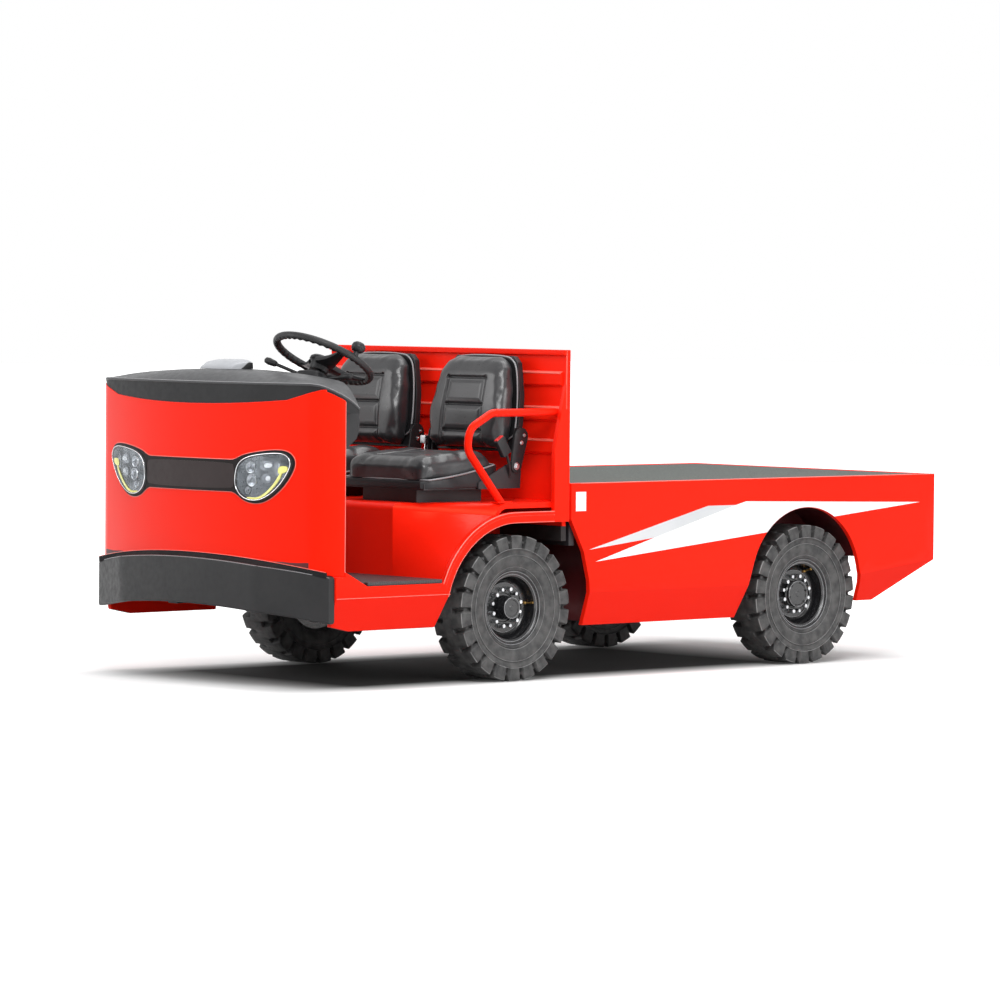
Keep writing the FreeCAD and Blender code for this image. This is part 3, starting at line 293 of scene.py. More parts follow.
def ring_faces(rings, count, closed_ends=True, loop=True):
    """Quads between successive rings of count points, with flat end caps."""
    faces = []
    last = count if loop else count - 1
    for i in range(rings - 1):
        for j in range(last):
            k = (j + 1) % count
            faces.append((i * count + j, i * count + k, (i + 1) * count + k, (i + 1) * count + j))
    if closed_ends:
        faces.append(tuple(reversed(range(count))))
        faces.append(tuple(range((rings - 1) * count, rings * count)))
    return faces


def fix_normals(mesh, merge=0.0):
    """Turn a closed mesh's faces outward, after merging points closer than merge."""
    bm = bmesh.new()
    bm.from_mesh(mesh)
    if merge:
        bmesh.ops.remove_doubles(bm, verts=bm.verts, dist=merge)
    bmesh.ops.recalc_face_normals(bm, faces=bm.faces)
    bm.to_mesh(mesh)
    bm.free()
    return mesh


def lofted(name, rings):
    """Closed mesh through rings of equally many points."""
    return fix_normals(from_data(name, [p for r in rings for p in r], ring_faces(len(rings), len(rings[0]))))


def bevelled(mesh, width, segments=3, angle=30):
    """Round the sharp edges of a closed mesh."""
    bm = bmesh.new()
    bm.from_mesh(mesh)
    bmesh.ops.remove_doubles(bm, verts=bm.verts, dist=1e-5)
    sharp = [e for e in bm.edges if len(e.link_faces) == 2 and e.calc_face_angle(0) > math.radians(angle)]
    bmesh.ops.bevel(bm, geom=sharp, offset=width, segments=segments, profile=0.6, affect="EDGES",
        clamp_overlap=True)
    bmesh.ops.recalc_face_normals(bm, faces=bm.faces)
    bm.to_mesh(mesh)
    bm.free()
    return mesh


def prism(outline, push, bevel=0.0, segments=3):
    """Closed mesh from 3-D outline points pushed along a vector."""
    n = len(outline)
    push = Vector(push)
    verts = [Vector(p) for p in outline] + [Vector(p) + push for p in outline]
    mesh = fix_normals(from_data("prism", verts, ring_faces(2, n)))
    return bevelled(mesh, bevel, segments) if bevel else mesh


def block(lo, hi, bevel, segments=3):
    (x0, y0, z0), (x1, y1, z1) = lo, hi
    return prism([(x0, y0, z0), (x1, y0, z0), (x1, y1, z0), (x0, y1, z0)], (0, 0, z1 - z0), bevel, segments)


def turned(profile, steps, centre, axis, closed=False):
    """Mesh turned about an axis through centre, from (along, radius) points; the profile may be a loop."""
    axis = Vector(axis).normalized()
    side = axis.orthogonal().normalized()
    other = axis.cross(side)
    verts = []
    for along, r in profile:
        for j in range(steps):
            a = 2 * math.pi * j / steps
            verts.append(Vector(centre) + axis * along + (side * math.cos(a) + other * math.sin(a)) * r)
    n = len(profile)
    faces = ring_faces(n, steps, closed_ends=False)
    if closed:
        for j in range(steps):
            k = (j + 1) % steps
            faces.append(((n - 1) * steps + j, (n - 1) * steps + k, k, j))
    return fix_normals(from_data("turned", verts, faces), 1e-6)


def joined(meshes):
    bm = bmesh.new()
    for m in meshes:
        bm.from_mesh(m)
    mesh = bpy.data.meshes.new("joined")
    bm.to_mesh(mesh)
    bm.free()
    return mesh


def moved(mesh, matrix):
    made = mesh.copy()
    made.transform(matrix)
    if matrix.determinant() < 0:
        made.flip_normals()
    return made


def mirrored(mesh):
    return moved(mesh, Matrix.Scale(-1, 4, (1, 0, 0)))


def placer(s):
    """What puts a mesh made for the left side on side s."""
    return mirrored if s < 0 else lambda mesh: mesh


def rod(name, points, radius, material, body="chassis", closed=False, sides=12):
    """Round bar or bead along smooth points, as a mesh."""
    curve = bpy.data.curves.new(name, "CURVE")
    curve.dimensions = "3D"
    spline = curve.splines.new("NURBS")
    spline.points.add(len(points) - 1)
    for p, q in zip(spline.points, points):
        p.co = (*q, 1)
    spline.order_u = 3
    spline.use_endpoint_u = not closed
    spline.use_cyclic_u = closed
    spline.resolution_u = 6
    curve.bevel_depth = radius
    curve.bevel_resolution = max(1, sides // 4)
    curve.use_fill_caps = True
    holder = bpy.data.objects.new(name + "_curve", curve)
    mesh = bpy.data.meshes.new_from_object(holder)
    bpy.data.objects.remove(holder)
    return as_object(name, mesh, material, body, smooth=50)


def bolt(at, axis, size=0.009, height=0.006, washer=1.5):
    """Hexagon head with a washer, standing on a surface at a point."""
    head = turned([(0, 0), (0, size * washer), (height * 0.25, size * washer), (height * 0.25, 0)], 20, at,
        axis)
    nut = turned([(height * 0.25, 0), (height * 0.25, size), (height * 1.6, size), (height * 2, size * 0.8),
        (height * 2, 0)], 6, at, axis)
    return joined([head, nut])


# ---------------- carried-over solids
BEVEL_FROM = 28                                # degrees; flatter edges stay as they are


def dress(node, material, edge=0.0, segments=2, crisp=False):
    """Give a CAD solid its finish, and soften its sharp edges with modifiers."""
    obj = frame["nodes"][node]
    obj.data.materials.clear()
    obj.data.materials.append(MAT[material])
    if edge:
        weld = obj.modifiers.new("weld", "WELD")
        weld.merge_threshold = 0.00005
        bevel = obj.modifiers.new("edges", "BEVEL")
        bevel.width = edge
        bevel.segments = segments
        bevel.limit_method = "ANGLE"
        bevel.angle_limit = math.radians(BEVEL_FROM)
        bevel.use_clamp_overlap = True
        bevel.harden_normals = False
        obj.data.shade_smooth()
        if crisp:
            obj.data.set_sharp_from_angle(angle=math.radians(11))
        weighted = obj.modifiers.new("normals", "WEIGHTED_NORMAL")
        weighted.keep_sharp = crisp
        weighted.weight = 100
    return obj


def darken(node, inside, material="arch_shade"):
    """Another finish on some faces of a red solid: painted shade inside the wheel arches and on the low band of
    the sides.
    """
    obj = frame["nodes"][node]
    obj.data.materials.append(MAT[material])
    last = len(obj.data.materials) - 1
    place = obj.matrix_world
    turn = place.to_3x3()
    for face in obj.data.polygons:
        if inside(place @ face.center, turn @ face.normal):
            face.material_index = last


def tucked_in(at, normal):
    """Low band of the body sides, below their crease, which faces down and is given painted shade."""
    return -0.9 < normal.z < -0.12 and abs(normal.x) > 0.5 and abs(at.x) > SIDE - 0.06


def in_front_arch(at, normal):
    """Faces that look at a front wheel, or down, inside the body sides: these get painted shade."""
    to_hub = Vector((0, FRONT_HUB.y - at.y, FRONT_HUB.z - at.z))
    facing = to_hub.length < 0.48 and to_hub.normalized().dot(normal) > 0.35 and abs(at.x) < SIDE - 0.024
    return facing or (normal.z < -0.5 and at.z < 0.74)


FINISHES = (
    ("front_fascia cab_sides seat_box", dict(material="red", edge=0.003)),
    ("bulkhead side_panel_left side_panel_right rear_panel", dict(material="red", edge=0.003, crisp=True)),
    ("platform_deck grab_rails", dict(material="red", edge=0.001)),
    # Cab floor, front walls and wheel boxes in very dark red: painted shade on the red body.
    ("cab_floor front_walls", dict(material="red_in_shade", edge=0.001)),
    ("wheel_boxes", dict(material="red_in_shade")),
    ("dash_panel", dict(material="black", edge=0.012, segments=4)),
    ("backrest_shell_left backrest_shell_right", dict(material="black", edge=0.01, segments=4)),
    ("steering_column", dict(material="black", edge=0.002)),
    ("bumper", dict(material="bumper", edge=0.009)),
    ("floor_mat", dict(material="mat", edge=0.004)),
    ("deck_mat", dict(material="deck", edge=0.002)),
    ("battery_pack", dict(material="battery", edge=0.004)),
    ("frame_rails cross_members deck_bearers tow_hitch front_axle rear_axle leaf_springs tie_rod "
     "knuckle_left knuckle_right", dict(material="steel", edge=0.002)),
    ("seat_frames", dict(material="steel", edge=0.004)),
    ("pedals", dict(material="steel", edge=0.003)),
)


def dress_solids():
    """Finishes of the solids that stay, painted shade in the arches and on the lower sides, and a dark plate of
    painted shade under the bulkhead.
    """
    for nodes, finish in FINISHES:
        for node in nodes.split():
            dress(node, **finish)
    # Painted shade: near black inside the front arches, a darker red on the sides' low band.
    darken("seat_box", in_front_arch)
    darken("cab_sides", in_front_arch)
    for node in ("cab_sides", "side_panel_left", "side_panel_right"):
        darken(node, tucked_in, "red_underside_shade")
    lo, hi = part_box("bulkhead")
    # Near-black plate over the bulkhead's lower end, seen through the arch: painted shade.
    for side, s in SIDES:
        shade_plate = block((0.33, hi.y - 0.0265, lo.z - 0.0008), (SIDE - 0.0212, hi.y + 0.0008, lo.z + 0.06), 0.001,
            1)
        as_object(f"bulkhead_shade_plate_{side}", placer(s)(shade_plate), "arch_shade", smooth=0)


# ---------------- tyres and rims
RIM_HALF = 0.068                               # half a rim's width
NUTS = 12
LUGS = 22
LUG_SHARE = 0.78
TREAD_CUT, WALL_CUT = 0.022, 0.016             # depth of the grooves in the tread and in the tyre's side
SHOULDER = 0.012                               # from the tread down to where its side begins
STEPS_PER_LUG = 16


def tyre_profile(hub):
    """(x, radius, how far a groove reaches into the rubber there), from the outer bead over the tread."""
    wall, r, bead = WALL, TYRE_R, flange_of(hub)
    ledge = r - 0.057
    outer = [(wall - 0.03, bead + 0.001, 0), (wall - 0.02, bead + 0.002, 0), (wall - 0.014, bead + 0.007, 0),
        (wall - 0.0125, bead + 0.011, 0), (wall - 0.0145, bead + 0.014, 0), (wall - 0.0115, bead + 0.018, 0),
        (wall - 0.008, bead + 0.034, 0), (wall - 0.006, bead + 0.05, 0), (wall - 0.0055, ledge - 0.026, 0),
        (wall - 0.0035, ledge - 0.0245, 0), (wall - 0.0035, ledge - 0.021, 0), (wall - 0.006, ledge - 0.019, 0),
        (wall - 0.0055, ledge - 0.007, 0), (wall - 0.0035, ledge - 0.003, 0), (wall - 0.0005, ledge, 0),
        (wall, ledge + 0.003, 0.25), (wall + 0.0003, ledge + 0.006, 1), (wall, ledge + 0.02, 1), (wall - 0.0005,
        r - 0.02, 1), (wall - 0.001, r - 0.01, 1), (wall - 0.002, r - 0.004, 1), (wall - 0.0045, r - 0.0012, 1),
        (wall - 0.01, r - 0.0003, 1), (wall - 0.026, r - 0.0001, 1), (wall - 0.042, r, 0.95), (0.036, r, 0.9),
        (0.03, r, 0.15), (0.026, r, 0)]
    return outer + [(-a, b, g) for a, b, g in reversed(outer)]


def groove_at(turn, share):
    """0 on a tread block, 1 in the middle of a groove, for a position in one pitch from 0 to 1."""
    edge = 0.025
    d = min(turn, 1 - turn) - (1 - share) / 2
    return 1 - min(1, max(0, (d + edge) / (2 * edge)))


def tyre_mesh(hub):
    profile = tyre_profile(hub)
    steps = LUGS * STEPS_PER_LUG
    verts = []
    for x, r, reach in profile:
        outer = x > 0
        for j in range(steps):
            turn = j / STEPS_PER_LUG + 0.5 + (0 if outer else 0.5)
            turn -= math.floor(turn)
            slant = 0.06 * (abs(x) - 0.06) / 0.03
            depth = groove_at((turn + slant * reach) % 1, LUG_SHARE) * reach
            sipe = groove_at((turn * 2 + 0.5) % 1, 0.93) * 0.28 if reach >= 1 and r < TYRE_R - 0.02 else 0
            cut_r = depth * (TREAD_CUT if r > TYRE_R - SHOULDER else 0.004)
            cut_x = (depth + sipe * 0.3) * (WALL_CUT if r < TYRE_R - SHOULDER else 0.008)
            a = 2 * math.pi * j / steps - math.pi / 2
            rr = r - cut_r
            verts.append((hub.x + x - math.copysign(cut_x, x), hub.y + rr * math.cos(a), hub.z + rr
                * math.sin(a)))
    return fix_normals(from_data("tyre", verts, ring_faces(len(profile), steps, closed_ends=False)
        + [((len(profile) - 1) * steps + j, (len(profile) - 1) * steps + (j + 1) % steps, (j + 1) % steps, j)
        for j in range(steps)]))


def lug_corner_highlights(mesh, hub):
    """Pale rubber on the outer corner of each lug: a painted highlight."""
    mesh.materials.append(MAT["tyre_highlight"])
    for face in mesh.polygons:
        r = math.hypot(face.center.y - hub.y, face.center.z - hub.z)
        if TYRE_R - 0.0038 < r < TYRE_R - 0.0014 and abs(face.center.x) - hub.x > WALL - 0.006:
            face.material_index = 1


def rim_meshes(hub, rear):
    """Deep dished disc wheel: rim, disc and hub cap, nuts, valve, and pale rings on its edges as painted
    highlights.
    """
    w = RIM_HALF
    flange = flange_of(hub)
    seat = flange - 0.022
    shell = [(w - 0.003, flange), (w, flange - 0.001), (w + 0.0012, flange - 0.0035), (w - 0.001, flange
        - 0.0065), (w - 0.007, flange - 0.0085), (w - 0.0085, flange - 0.0105), (w - 0.0075, flange - 0.013),
        (w - 0.011, flange - 0.0155), (w - 0.018, flange - 0.0175), (w - 0.03, seat - 0.003),
        (0.02, seat - 0.004), (0.01, seat - 0.008), (0.002, seat - 0.016), (0.0, 0.106), (0.0085, 0.102),
        (0.0125, 0.1), (0.0125, 0.06), (0.008, 0.057), (0.008, 0.046), (-0.006, 0.046), (-0.004, seat - 0.01),
        (-w, seat - 0.004), (-w, flange), (-w + 0.004, flange), (-w + 0.006, seat + 0.001),
        (w - 0.012, seat + 0.001), (w - 0.005, seat + 0.012)]
    meshes = {"rim": [turned(shell, 72, hub, (1, 0, 0), closed=True)], "nuts": [], "brass": [], "rings": []}
    out = 0.045 if rear else 0.066
    big = 0.056 if rear else 0.043
    neck = 0.05 if rear else 0.045
    cap = [(-0.02, 0), (-0.02, neck + 0.006), (0.02, neck + 0.004), (out - 0.022, neck), (out - 0.016,
        neck - 0.003), (out - 0.013, big), (out - 0.003, big), (out, big - 0.003), (out, big - 0.009),
        (out - 0.003, big - 0.011), (out - 0.003, 0.012), (out - 0.001, 0.01), (out - 0.001, 0)]
    meshes["rim"].append(turned(cap, 48, hub, (1, 0, 0)))
    for i in range(NUTS):
        a = math.radians(360 / NUTS * i + 16)
        at = hub + Vector((0.0125, 0.076 * math.cos(a), 0.076 * math.sin(a)))
        wide = i % 2 == 0
        meshes["nuts"].append(bolt(at, (1, 0, 0), 0.0102 if wide else 0.009, 0.013 if wide else 0.0105, 0.9))
        if rear and wide:
            at = hub + Vector((out - 0.004, 0.049 * math.cos(a), 0.049 * math.sin(a)))
            meshes["rim"].append(bolt(at, (1, 0, 0), 0.005, 0.0035))
    a = math.radians(58 if rear else 8)
    start = hub + Vector((0.012, 0.108 * math.cos(a), 0.108 * math.sin(a)))
    lean = Vector((0.8, math.cos(a) * 0.3, math.sin(a) * 0.3)).normalized()
    meshes["brass"].append(turned([(0, 0), (0, 0.006), (0.012, 0.006), (0.014, 0.004), (0.034, 0.004),
        (0.036, 0.0052), (0.046, 0.0052), (0.047, 0)], 14, start, lean))
    # Pale rings on the rim's flange, disc and cap edges: painted highlights.
    for along, radius, thick in ((w + 0.0004, flange - 0.001, 0.0013), (w - 0.0068, flange - 0.0132, 0.0011),
            (w - 0.026, flange - 0.0205, 0.0009), (0.0128, 0.1002, 0.0008), (out - 0.0012, big - 0.0016,
            0.0012)):
        meshes["rings"].append(hoop(hub, along, radius, thick))
    return meshes


def hoop(hub, along, radius, thick):
    """Thin round ring about a wheel's axle."""
    section = [(along + thick * math.cos(b), radius + thick * math.sin(b)) for b in (math.pi / 4 * i
        for i in range(8))]
    return turned(section, 96, hub, (1, 0, 0), closed=True)


def make_wheels():
    """Tyre, rim, nuts, valve and rings of each wheel, riding on the wheel's body."""
    for end, hub, rear in (("front", FRONT_HUB, False), ("rear", REAR_HUB, True)):
        tyre = tyre_mesh(hub)
        metal = {key: joined(parts) for key, parts in rim_meshes(hub, rear).items()}
        for side, s in SIDES:
            place = placer(s)
            body = f"wheel_{end}_{side}"
            made = as_object(f"tyre_{end}_{side}_rubber", place(tyre), "tyre", body, smooth=34)
            lug_corner_highlights(made.data, hub)
            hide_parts(f"tyre_{end}_{side}")
            made = as_object(f"rim_{end}_{side}_disc", place(metal["rim"]), "rim", body, smooth=34)
            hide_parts(f"rim_{end}_{side}")
            as_object(f"nuts_{end}_{side}", place(metal["nuts"]), "zinc", body)
            as_object(f"valve_{end}_{side}", place(metal["brass"]), "brass", body, smooth=40)
            as_object(f"rim_rings_{end}_{side}", place(metal["rings"]), "rim_highlight", body, smooth=60)
            # Pale rings on the tyre's side: painted highlights of its ridges.
            highlight_rings = joined([hoop(hub, WALL + 0.0001, TYRE_R - 0.0535, 0.0012), hoop(hub, WALL - 0.0036, TYRE_R
                - 0.08, 0.001), hoop(hub, WALL - 0.0122, flange_of(hub) + 0.0175, 0.001)])
            as_object(f"tyre_rings_{end}_{side}", place(highlight_rings), "tyre_highlight", body, smooth=60)


# ---------------- seats
LEAN = math.radians(8)
PAD_DEPTH = 0.099
BACK_LENGTH = 0.39
VOXEL = 0.006
CLOTH_FRAMES = 20
PRESSURE = 4
RELAXING = 14                                  # smoothing steps after the cloth run
SEAT_X = (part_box("seat_cushions")[1].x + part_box("backrest_pad_left")[0].x - 0.01) / 2


def smooth_step(t):
    t = min(1, max(0, t))
    return t * t * (3 - 2 * t)


def along_points(points, v):
    """Height of a smooth line through (v, value) points."""
    for (v0, a), (v1, b) in zip(points, points[1:]):
        if v <= v1:
            return a + (b - a) * smooth_step((v - v0) / (v1 - v0))
    return points[-1][1]


BACK_WIDTHS = [(0, 0.202), (0.03, 0.223), (0.12, 0.23), (0.235, 0.22), (0.335, 0.198), (0.368, 0.176),
    (0.39, 0.13)]
BACK_DEPTHS = [(0, 0.052), (0.035, 0.08), (0.16, 0.087), (0.3, 0.076), (0.36, 0.058), (0.39, 0.028)]


def rounded_ring(half_u, half_w, count=44, power=0.45, square=0):
    """Rounded rectangle; on the side that square points to, its corners are almost sharp."""
    points = []
    for j in range(count):
        a = 2 * math.pi * j / count
        c, s = math.cos(a), math.sin(a)
        bend = 0.16 if s * square > 0 else power
        points.append((half_u * math.copysign(abs(c) ** bend, c), half_w * math.copysign(abs(s) ** bend, s)))
    return points


def back_form():
    """Backrest pad in its own axes: x across, y from the front face back, z up the back."""
    rings = []
    steps = 30
    for i in range(steps + 1):
        v = BACK_LENGTH * i / steps
        half_u = along_points(BACK_WIDTHS, v)
        depth = along_points(BACK_DEPTHS, v)
        rings.append([(u, PAD_DEPTH - 0.004 - depth / 2 + w, v) for u, w in rounded_ring(half_u, depth / 2,
            square=1)])
    return lofted("back", rings)


CUSHION_LENGTH = 0.412
CUSHION_WIDTHS = [(0, 0.212), (0.012, 0.236), (0.04, 0.246), (0.2, 0.246), (0.36, 0.238), (0.412, 0.216)]
CUSHION_DEPTHS = [(0, 0.06), (0.014, 0.082), (0.06, 0.094), (0.2, 0.104), (0.3, 0.112), (0.345, 0.108),
    (0.385, 0.088), (0.412, 0.06)]
TRAY_EDGE = [(-0.006, 0.01), (0.06, 0.013), (0.2, 0.03), (0.34, 0.06), (0.4, 0.07)]


def cushion_form():
    """Seat cushion in its own axes: x across, y from its front edge back, z up from its pan."""
    rings = []
    steps = 30
    for i in range(steps + 1):
        v = CUSHION_LENGTH * i / steps
        half_u = along_points(CUSHION_WIDTHS, v)
        depth = along_points(CUSHION_DEPTHS, v)
        rings.append([(u, v, 0.004 + depth / 2 + w) for u, w in rounded_ring(half_u, depth / 2, power=0.38,
            square=-1)])
    return lofted("cushion", rings)


def inflate(mesh, cap):
    """Even remesh, then a short cloth run under pressure; no point moves further than cap."""
    obj = linked("padding", mesh)
    remesh = obj.modifiers.new("remesh", "REMESH")
    remesh.mode = "VOXEL"
    remesh.voxel_size = VOXEL * 1
    evaluated = obj.evaluated_get(bpy.context.evaluated_depsgraph_get())
    obj.data = bpy.data.meshes.new_from_object(evaluated)
    obj.modifiers.clear()
    rest = [v.co.copy() for v in obj.data.vertices]
    cloth = obj.modifiers.new("cloth", "CLOTH")
    cloth.settings.use_pressure = True
    cloth.settings.uniform_pressure_force = PRESSURE
    cloth.settings.quality = 4
    cloth.settings.effector_weights.gravity = 0
    cloth.point_cache.frame_start = 1
    cloth.point_cache.frame_end = CLOTH_FRAMES
    for f in range(1, CLOTH_FRAMES + 1):
        bpy.context.scene.frame_set(f)
    evaluated = obj.evaluated_get(bpy.context.evaluated_depsgraph_get())
    for v, home, swollen in zip(obj.data.vertices, rest, evaluated.data.vertices):
        step = swollen.co - home
        v.co = home + step * min(1, cap / max(step.length, 1e-9))
    obj.modifiers.clear()
    bpy.context.scene.frame_set(1)
    relax = obj.modifiers.new("relax", "SMOOTH")
    relax.factor = 0.5
    relax.iterations = RELAXING
    refine = obj.modifiers.new("refine", "SUBSURF")
    refine.levels = 1
    refine.render_levels = 1
    evaluated = obj.evaluated_get(bpy.context.evaluated_depsgraph_get())
    made = bpy.data.meshes.new_from_object(evaluated)
    bpy.data.objects.remove(obj)
    return made


def furrow(distance, width):
    """Depth share of a sewn channel at a distance from its line."""
    return math.exp(-(distance / width) ** 2)


def quilt(mesh, facing, place, half_u, lines, v_range, depth, inset):
    """Sew a centre panel into a pad: a seam round it, cross seams at lines, and each pad between crowned."""
    low, high = v_range
    fronts = [max(0.0, vert.normal.dot(facing)) for vert in mesh.vertices]
    for vert, front in zip(mesh.vertices, fronts):
        u, v = place(vert.co)
        weight = smooth_step((front - 0.25) / 0.5)
        if weight <= 0:
            continue
        width = half_u(v)
        inside_u = width - abs(u)
        inside_v = min(v - low, high - v)
        edge = min(inside_u, inside_v)
        near_u = furrow(inside_u, 0.004) if -0.01 < inside_v else 0
        near_v = max(furrow(v - low, 0.0045), furrow(v - high, 0.0045)) if -0.01 < inside_u else 0
        cut = max(near_u, near_v)
        if edge > 0:
            across = max(furrow(v - line, 0.0042) for line in lines)
            cut = max(cut, across)
            to_line = min([abs(v - line) for line in lines] + [edge])
            cut += inset / depth * (1 - 0.75 * smooth_step(to_line / 0.028)) * smooth_step(edge / 0.012)
        vert.co -= facing * depth * cut * weight
    mesh.update()


def piping(name, points, material, body, radius=0.0035):
    return rod(name, points, radius, material, body, closed=True, sides=8)


def make_seats():
    """Quilted cushions and back pads with piping, on black trays."""
    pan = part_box("seat_cushions")
    back_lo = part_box("backrest_pad_left")[0]
    cushion = inflate(cushion_form(), 0.01)
    quilt(cushion, Vector((0, 0, 1)), lambda p: (p.x, p.y), lambda v: 0.12, [0.15, 0.215, 0.28], (0.085, 0.345),
        0.01, 0.006)
    upward = [max(0.0, vert.normal.z) for vert in cushion.vertices]
    for vert, up in zip(cushion.vertices, upward):
        bolster = smooth_step((abs(vert.co.x) - 0.12) / 0.05) * smooth_step((0.235 - abs(vert.co.x)) / 0.03)
        vert.co.z += 0.007 * bolster * up
        vert.co.z = max(vert.co.z, 0.0006)
    back = inflate(back_form(), 0.01)
    quilt(back, Vector((0, -1, 0)), lambda p: (p.x, p.z), lambda v: 0.124 - 0.04 * v, [0.07, 0.178],
        (-0.01, 0.288), 0.014, 0.009)
    for vert in back.vertices:
        vert.co.y = min(vert.co.y, PAD_DEPTH - 0.0006)
    base = Vector((0, back_lo.y, back_lo.z + PAD_DEPTH * math.sin(LEAN)))
    lean = Matrix.Translation(base) @ Matrix.Rotation(-LEAN, 4, "X")
    seat = Matrix.Translation(Vector((0, pan[0].y + 0.004, pan[0].z)))
    for side, s in SIDES:
        across = Matrix.Translation(Vector((s * SEAT_X, 0, 0)))
        obj = as_object(f"cushion_{side}", moved(cushion, across @ seat), "vinyl", "chassis", 0)
        obj.data.shade_smooth()
        obj = as_object(f"back_pad_{side}", moved(back, across @ lean), "vinyl", f"backrest_{side}",
            0)
        obj.data.shade_smooth()
        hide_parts(f"backrest_pad_{side}")
        rim = []
        for v, half in BACK_WIDTHS[1:]:
            rim.append((half + 0.007, PAD_DEPTH - 0.006, v))
        ring = rim + [(-a, b, c) for a, b, c in reversed(rim)]
        piping(f"back_piping_{side}", [(across @ lean) @ Vector(p) for p in ring], "piping", f"backrest_{side}")
        rim = [(half + 0.013, v, along_points(TRAY_EDGE, v) + 0.003) for v, half in CUSHION_WIDTHS[1:]]
        ring = rim + [(-a, b, c) for a, b, c in reversed(rim)]
        tray = [[(k * (half + 0.012), v, z) for k, v, z in ((-1, v, -0.021), (-1, v, along_points(TRAY_EDGE,
            v)), (1, v, along_points(TRAY_EDGE, v)), (1, v, -0.021))] for v, half in [(-0.004, 0.222)]
            + CUSHION_WIDTHS[1:]]
        as_object(f"cushion_tray_{side}", moved(bevelled(lofted("tray", tray), 0.006, 2), across @ seat),
            "black", "chassis")
        piping(f"cushion_piping_{side}", [(across @ seat) @ Vector(p) for p in ring], "piping", "chassis")
    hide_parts("seat_cushions")
    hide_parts("seat_cushions")


def make_seat_fittings():
    """Recliner covers with their bolts, belt buckles on stalks and the latch between the seats."""
    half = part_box("seat_frames")[1].x - SEAT_X
    hinge = Vector(joint_of("backrest_recline_left")["pos_m"])
    for side, s in SIDES:
        covers, bolts = [], []
        for away in (1, -1):
            x = s * SEAT_X + away * (half + 0.0025)
            outline = [(x, hinge.y + 0.027 * math.cos(a), hinge.z + 0.027 * math.sin(a))
                for a in (math.radians(d) for d in range(165, 351, 15))]
            outline += [(x, hinge.y + 0.026 + 0.036 * math.cos(a), hinge.z + 0.12 + 0.036 * math.sin(a))
                for a in (math.radians(d) for d in range(-15, 181, 15))]
            covers.append(prism(outline, (away * 0.005, 0, 0), 0.0015, 2))
            for y, z, size in ((0, 0, 0.01), (0.026, 0.095, 0.006), (0.04, 0.125, 0.005)):
                bolts.append(bolt(Vector((x + away * 0.005, hinge.y + y, hinge.z + z)), (away, 0, 0), size,
                    0.004))
        as_object(f"recliner_covers_{side}", joined(covers), "black", f"backrest_{side}")
        as_object(f"recliner_bolts_{side}", joined(bolts), "zinc", f"backrest_{side}")
        foot = Vector((s * (SEAT_X + half + 0.024), hinge.y - 0.072, hinge.z + 0.048))
        lean = Matrix.Translation(foot) @ Matrix.Rotation(math.radians(32), 4, "X")
        case = moved(block((-0.012, -0.024, 0.0), (0.012, 0.024, 0.078), 0.006), lean)
        button = moved(block((-0.009, -0.02, 0.076), (0.009, 0.02, 0.0815), 0.002), lean)
        rod(f"belt_stalk_{side}", [foot + Vector((0, -0.004, 0.012)), foot + Vector((-s * 0.004, 0.016, -0.02)),
            Vector((s * (SEAT_X + half + 0.003), hinge.y - 0.03, hinge.z - 0.035)),
            Vector((s * (SEAT_X + half - 0.004), hinge.y - 0.034, hinge.z - 0.045))], 0.006, "rubber")
        as_object(f"belt_buckle_{side}", case, "black")
        as_object(f"belt_button_{side}", button, "red_button")
    gap = SEAT_X - half + 0.012
    strap = prism([(gap - 0.03, hinge.y - 0.03, hinge.z - 0.01), (gap - 0.03, hinge.y + 0.012, hinge.z - 0.01),
        (gap - 0.03, hinge.y + 0.004, hinge.z + 0.085), (gap - 0.03, hinge.y - 0.022, hinge.z + 0.085)],
        (0.005, 0, 0), 0.001, 2)
    tongue = block((gap - 0.046, hinge.y - 0.032, hinge.z + 0.078), (gap - 0.016, hinge.y + 0.012, hinge.z
        + 0.112), 0.004)
    foot = block((gap - 0.031, hinge.y - 0.026, hinge.z - 0.012), (gap - 0.01, hinge.y + 0.008, hinge.z
        + 0.004), 0.002)
    as_object("belt_latch", joined([strap, tongue, foot]), "zinc")


def joint_of(name):
    for joint in frame["joints"]:
        if joint["name"] == name:
            return joint
    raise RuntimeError("no joint named " + name)


# ---------------- nose details
CORNER_R = 0.15
NOSE_R = 2.315
SKIN = FRONT + 0.032                           # front skin on the centre line


def nose_y(x, proud=0.0):
    """Front skin at a distance across, with its centre line at SKIN."""
    r = NOSE_R + proud
    return SKIN + NOSE_R - math.sqrt(r * r - x * x)


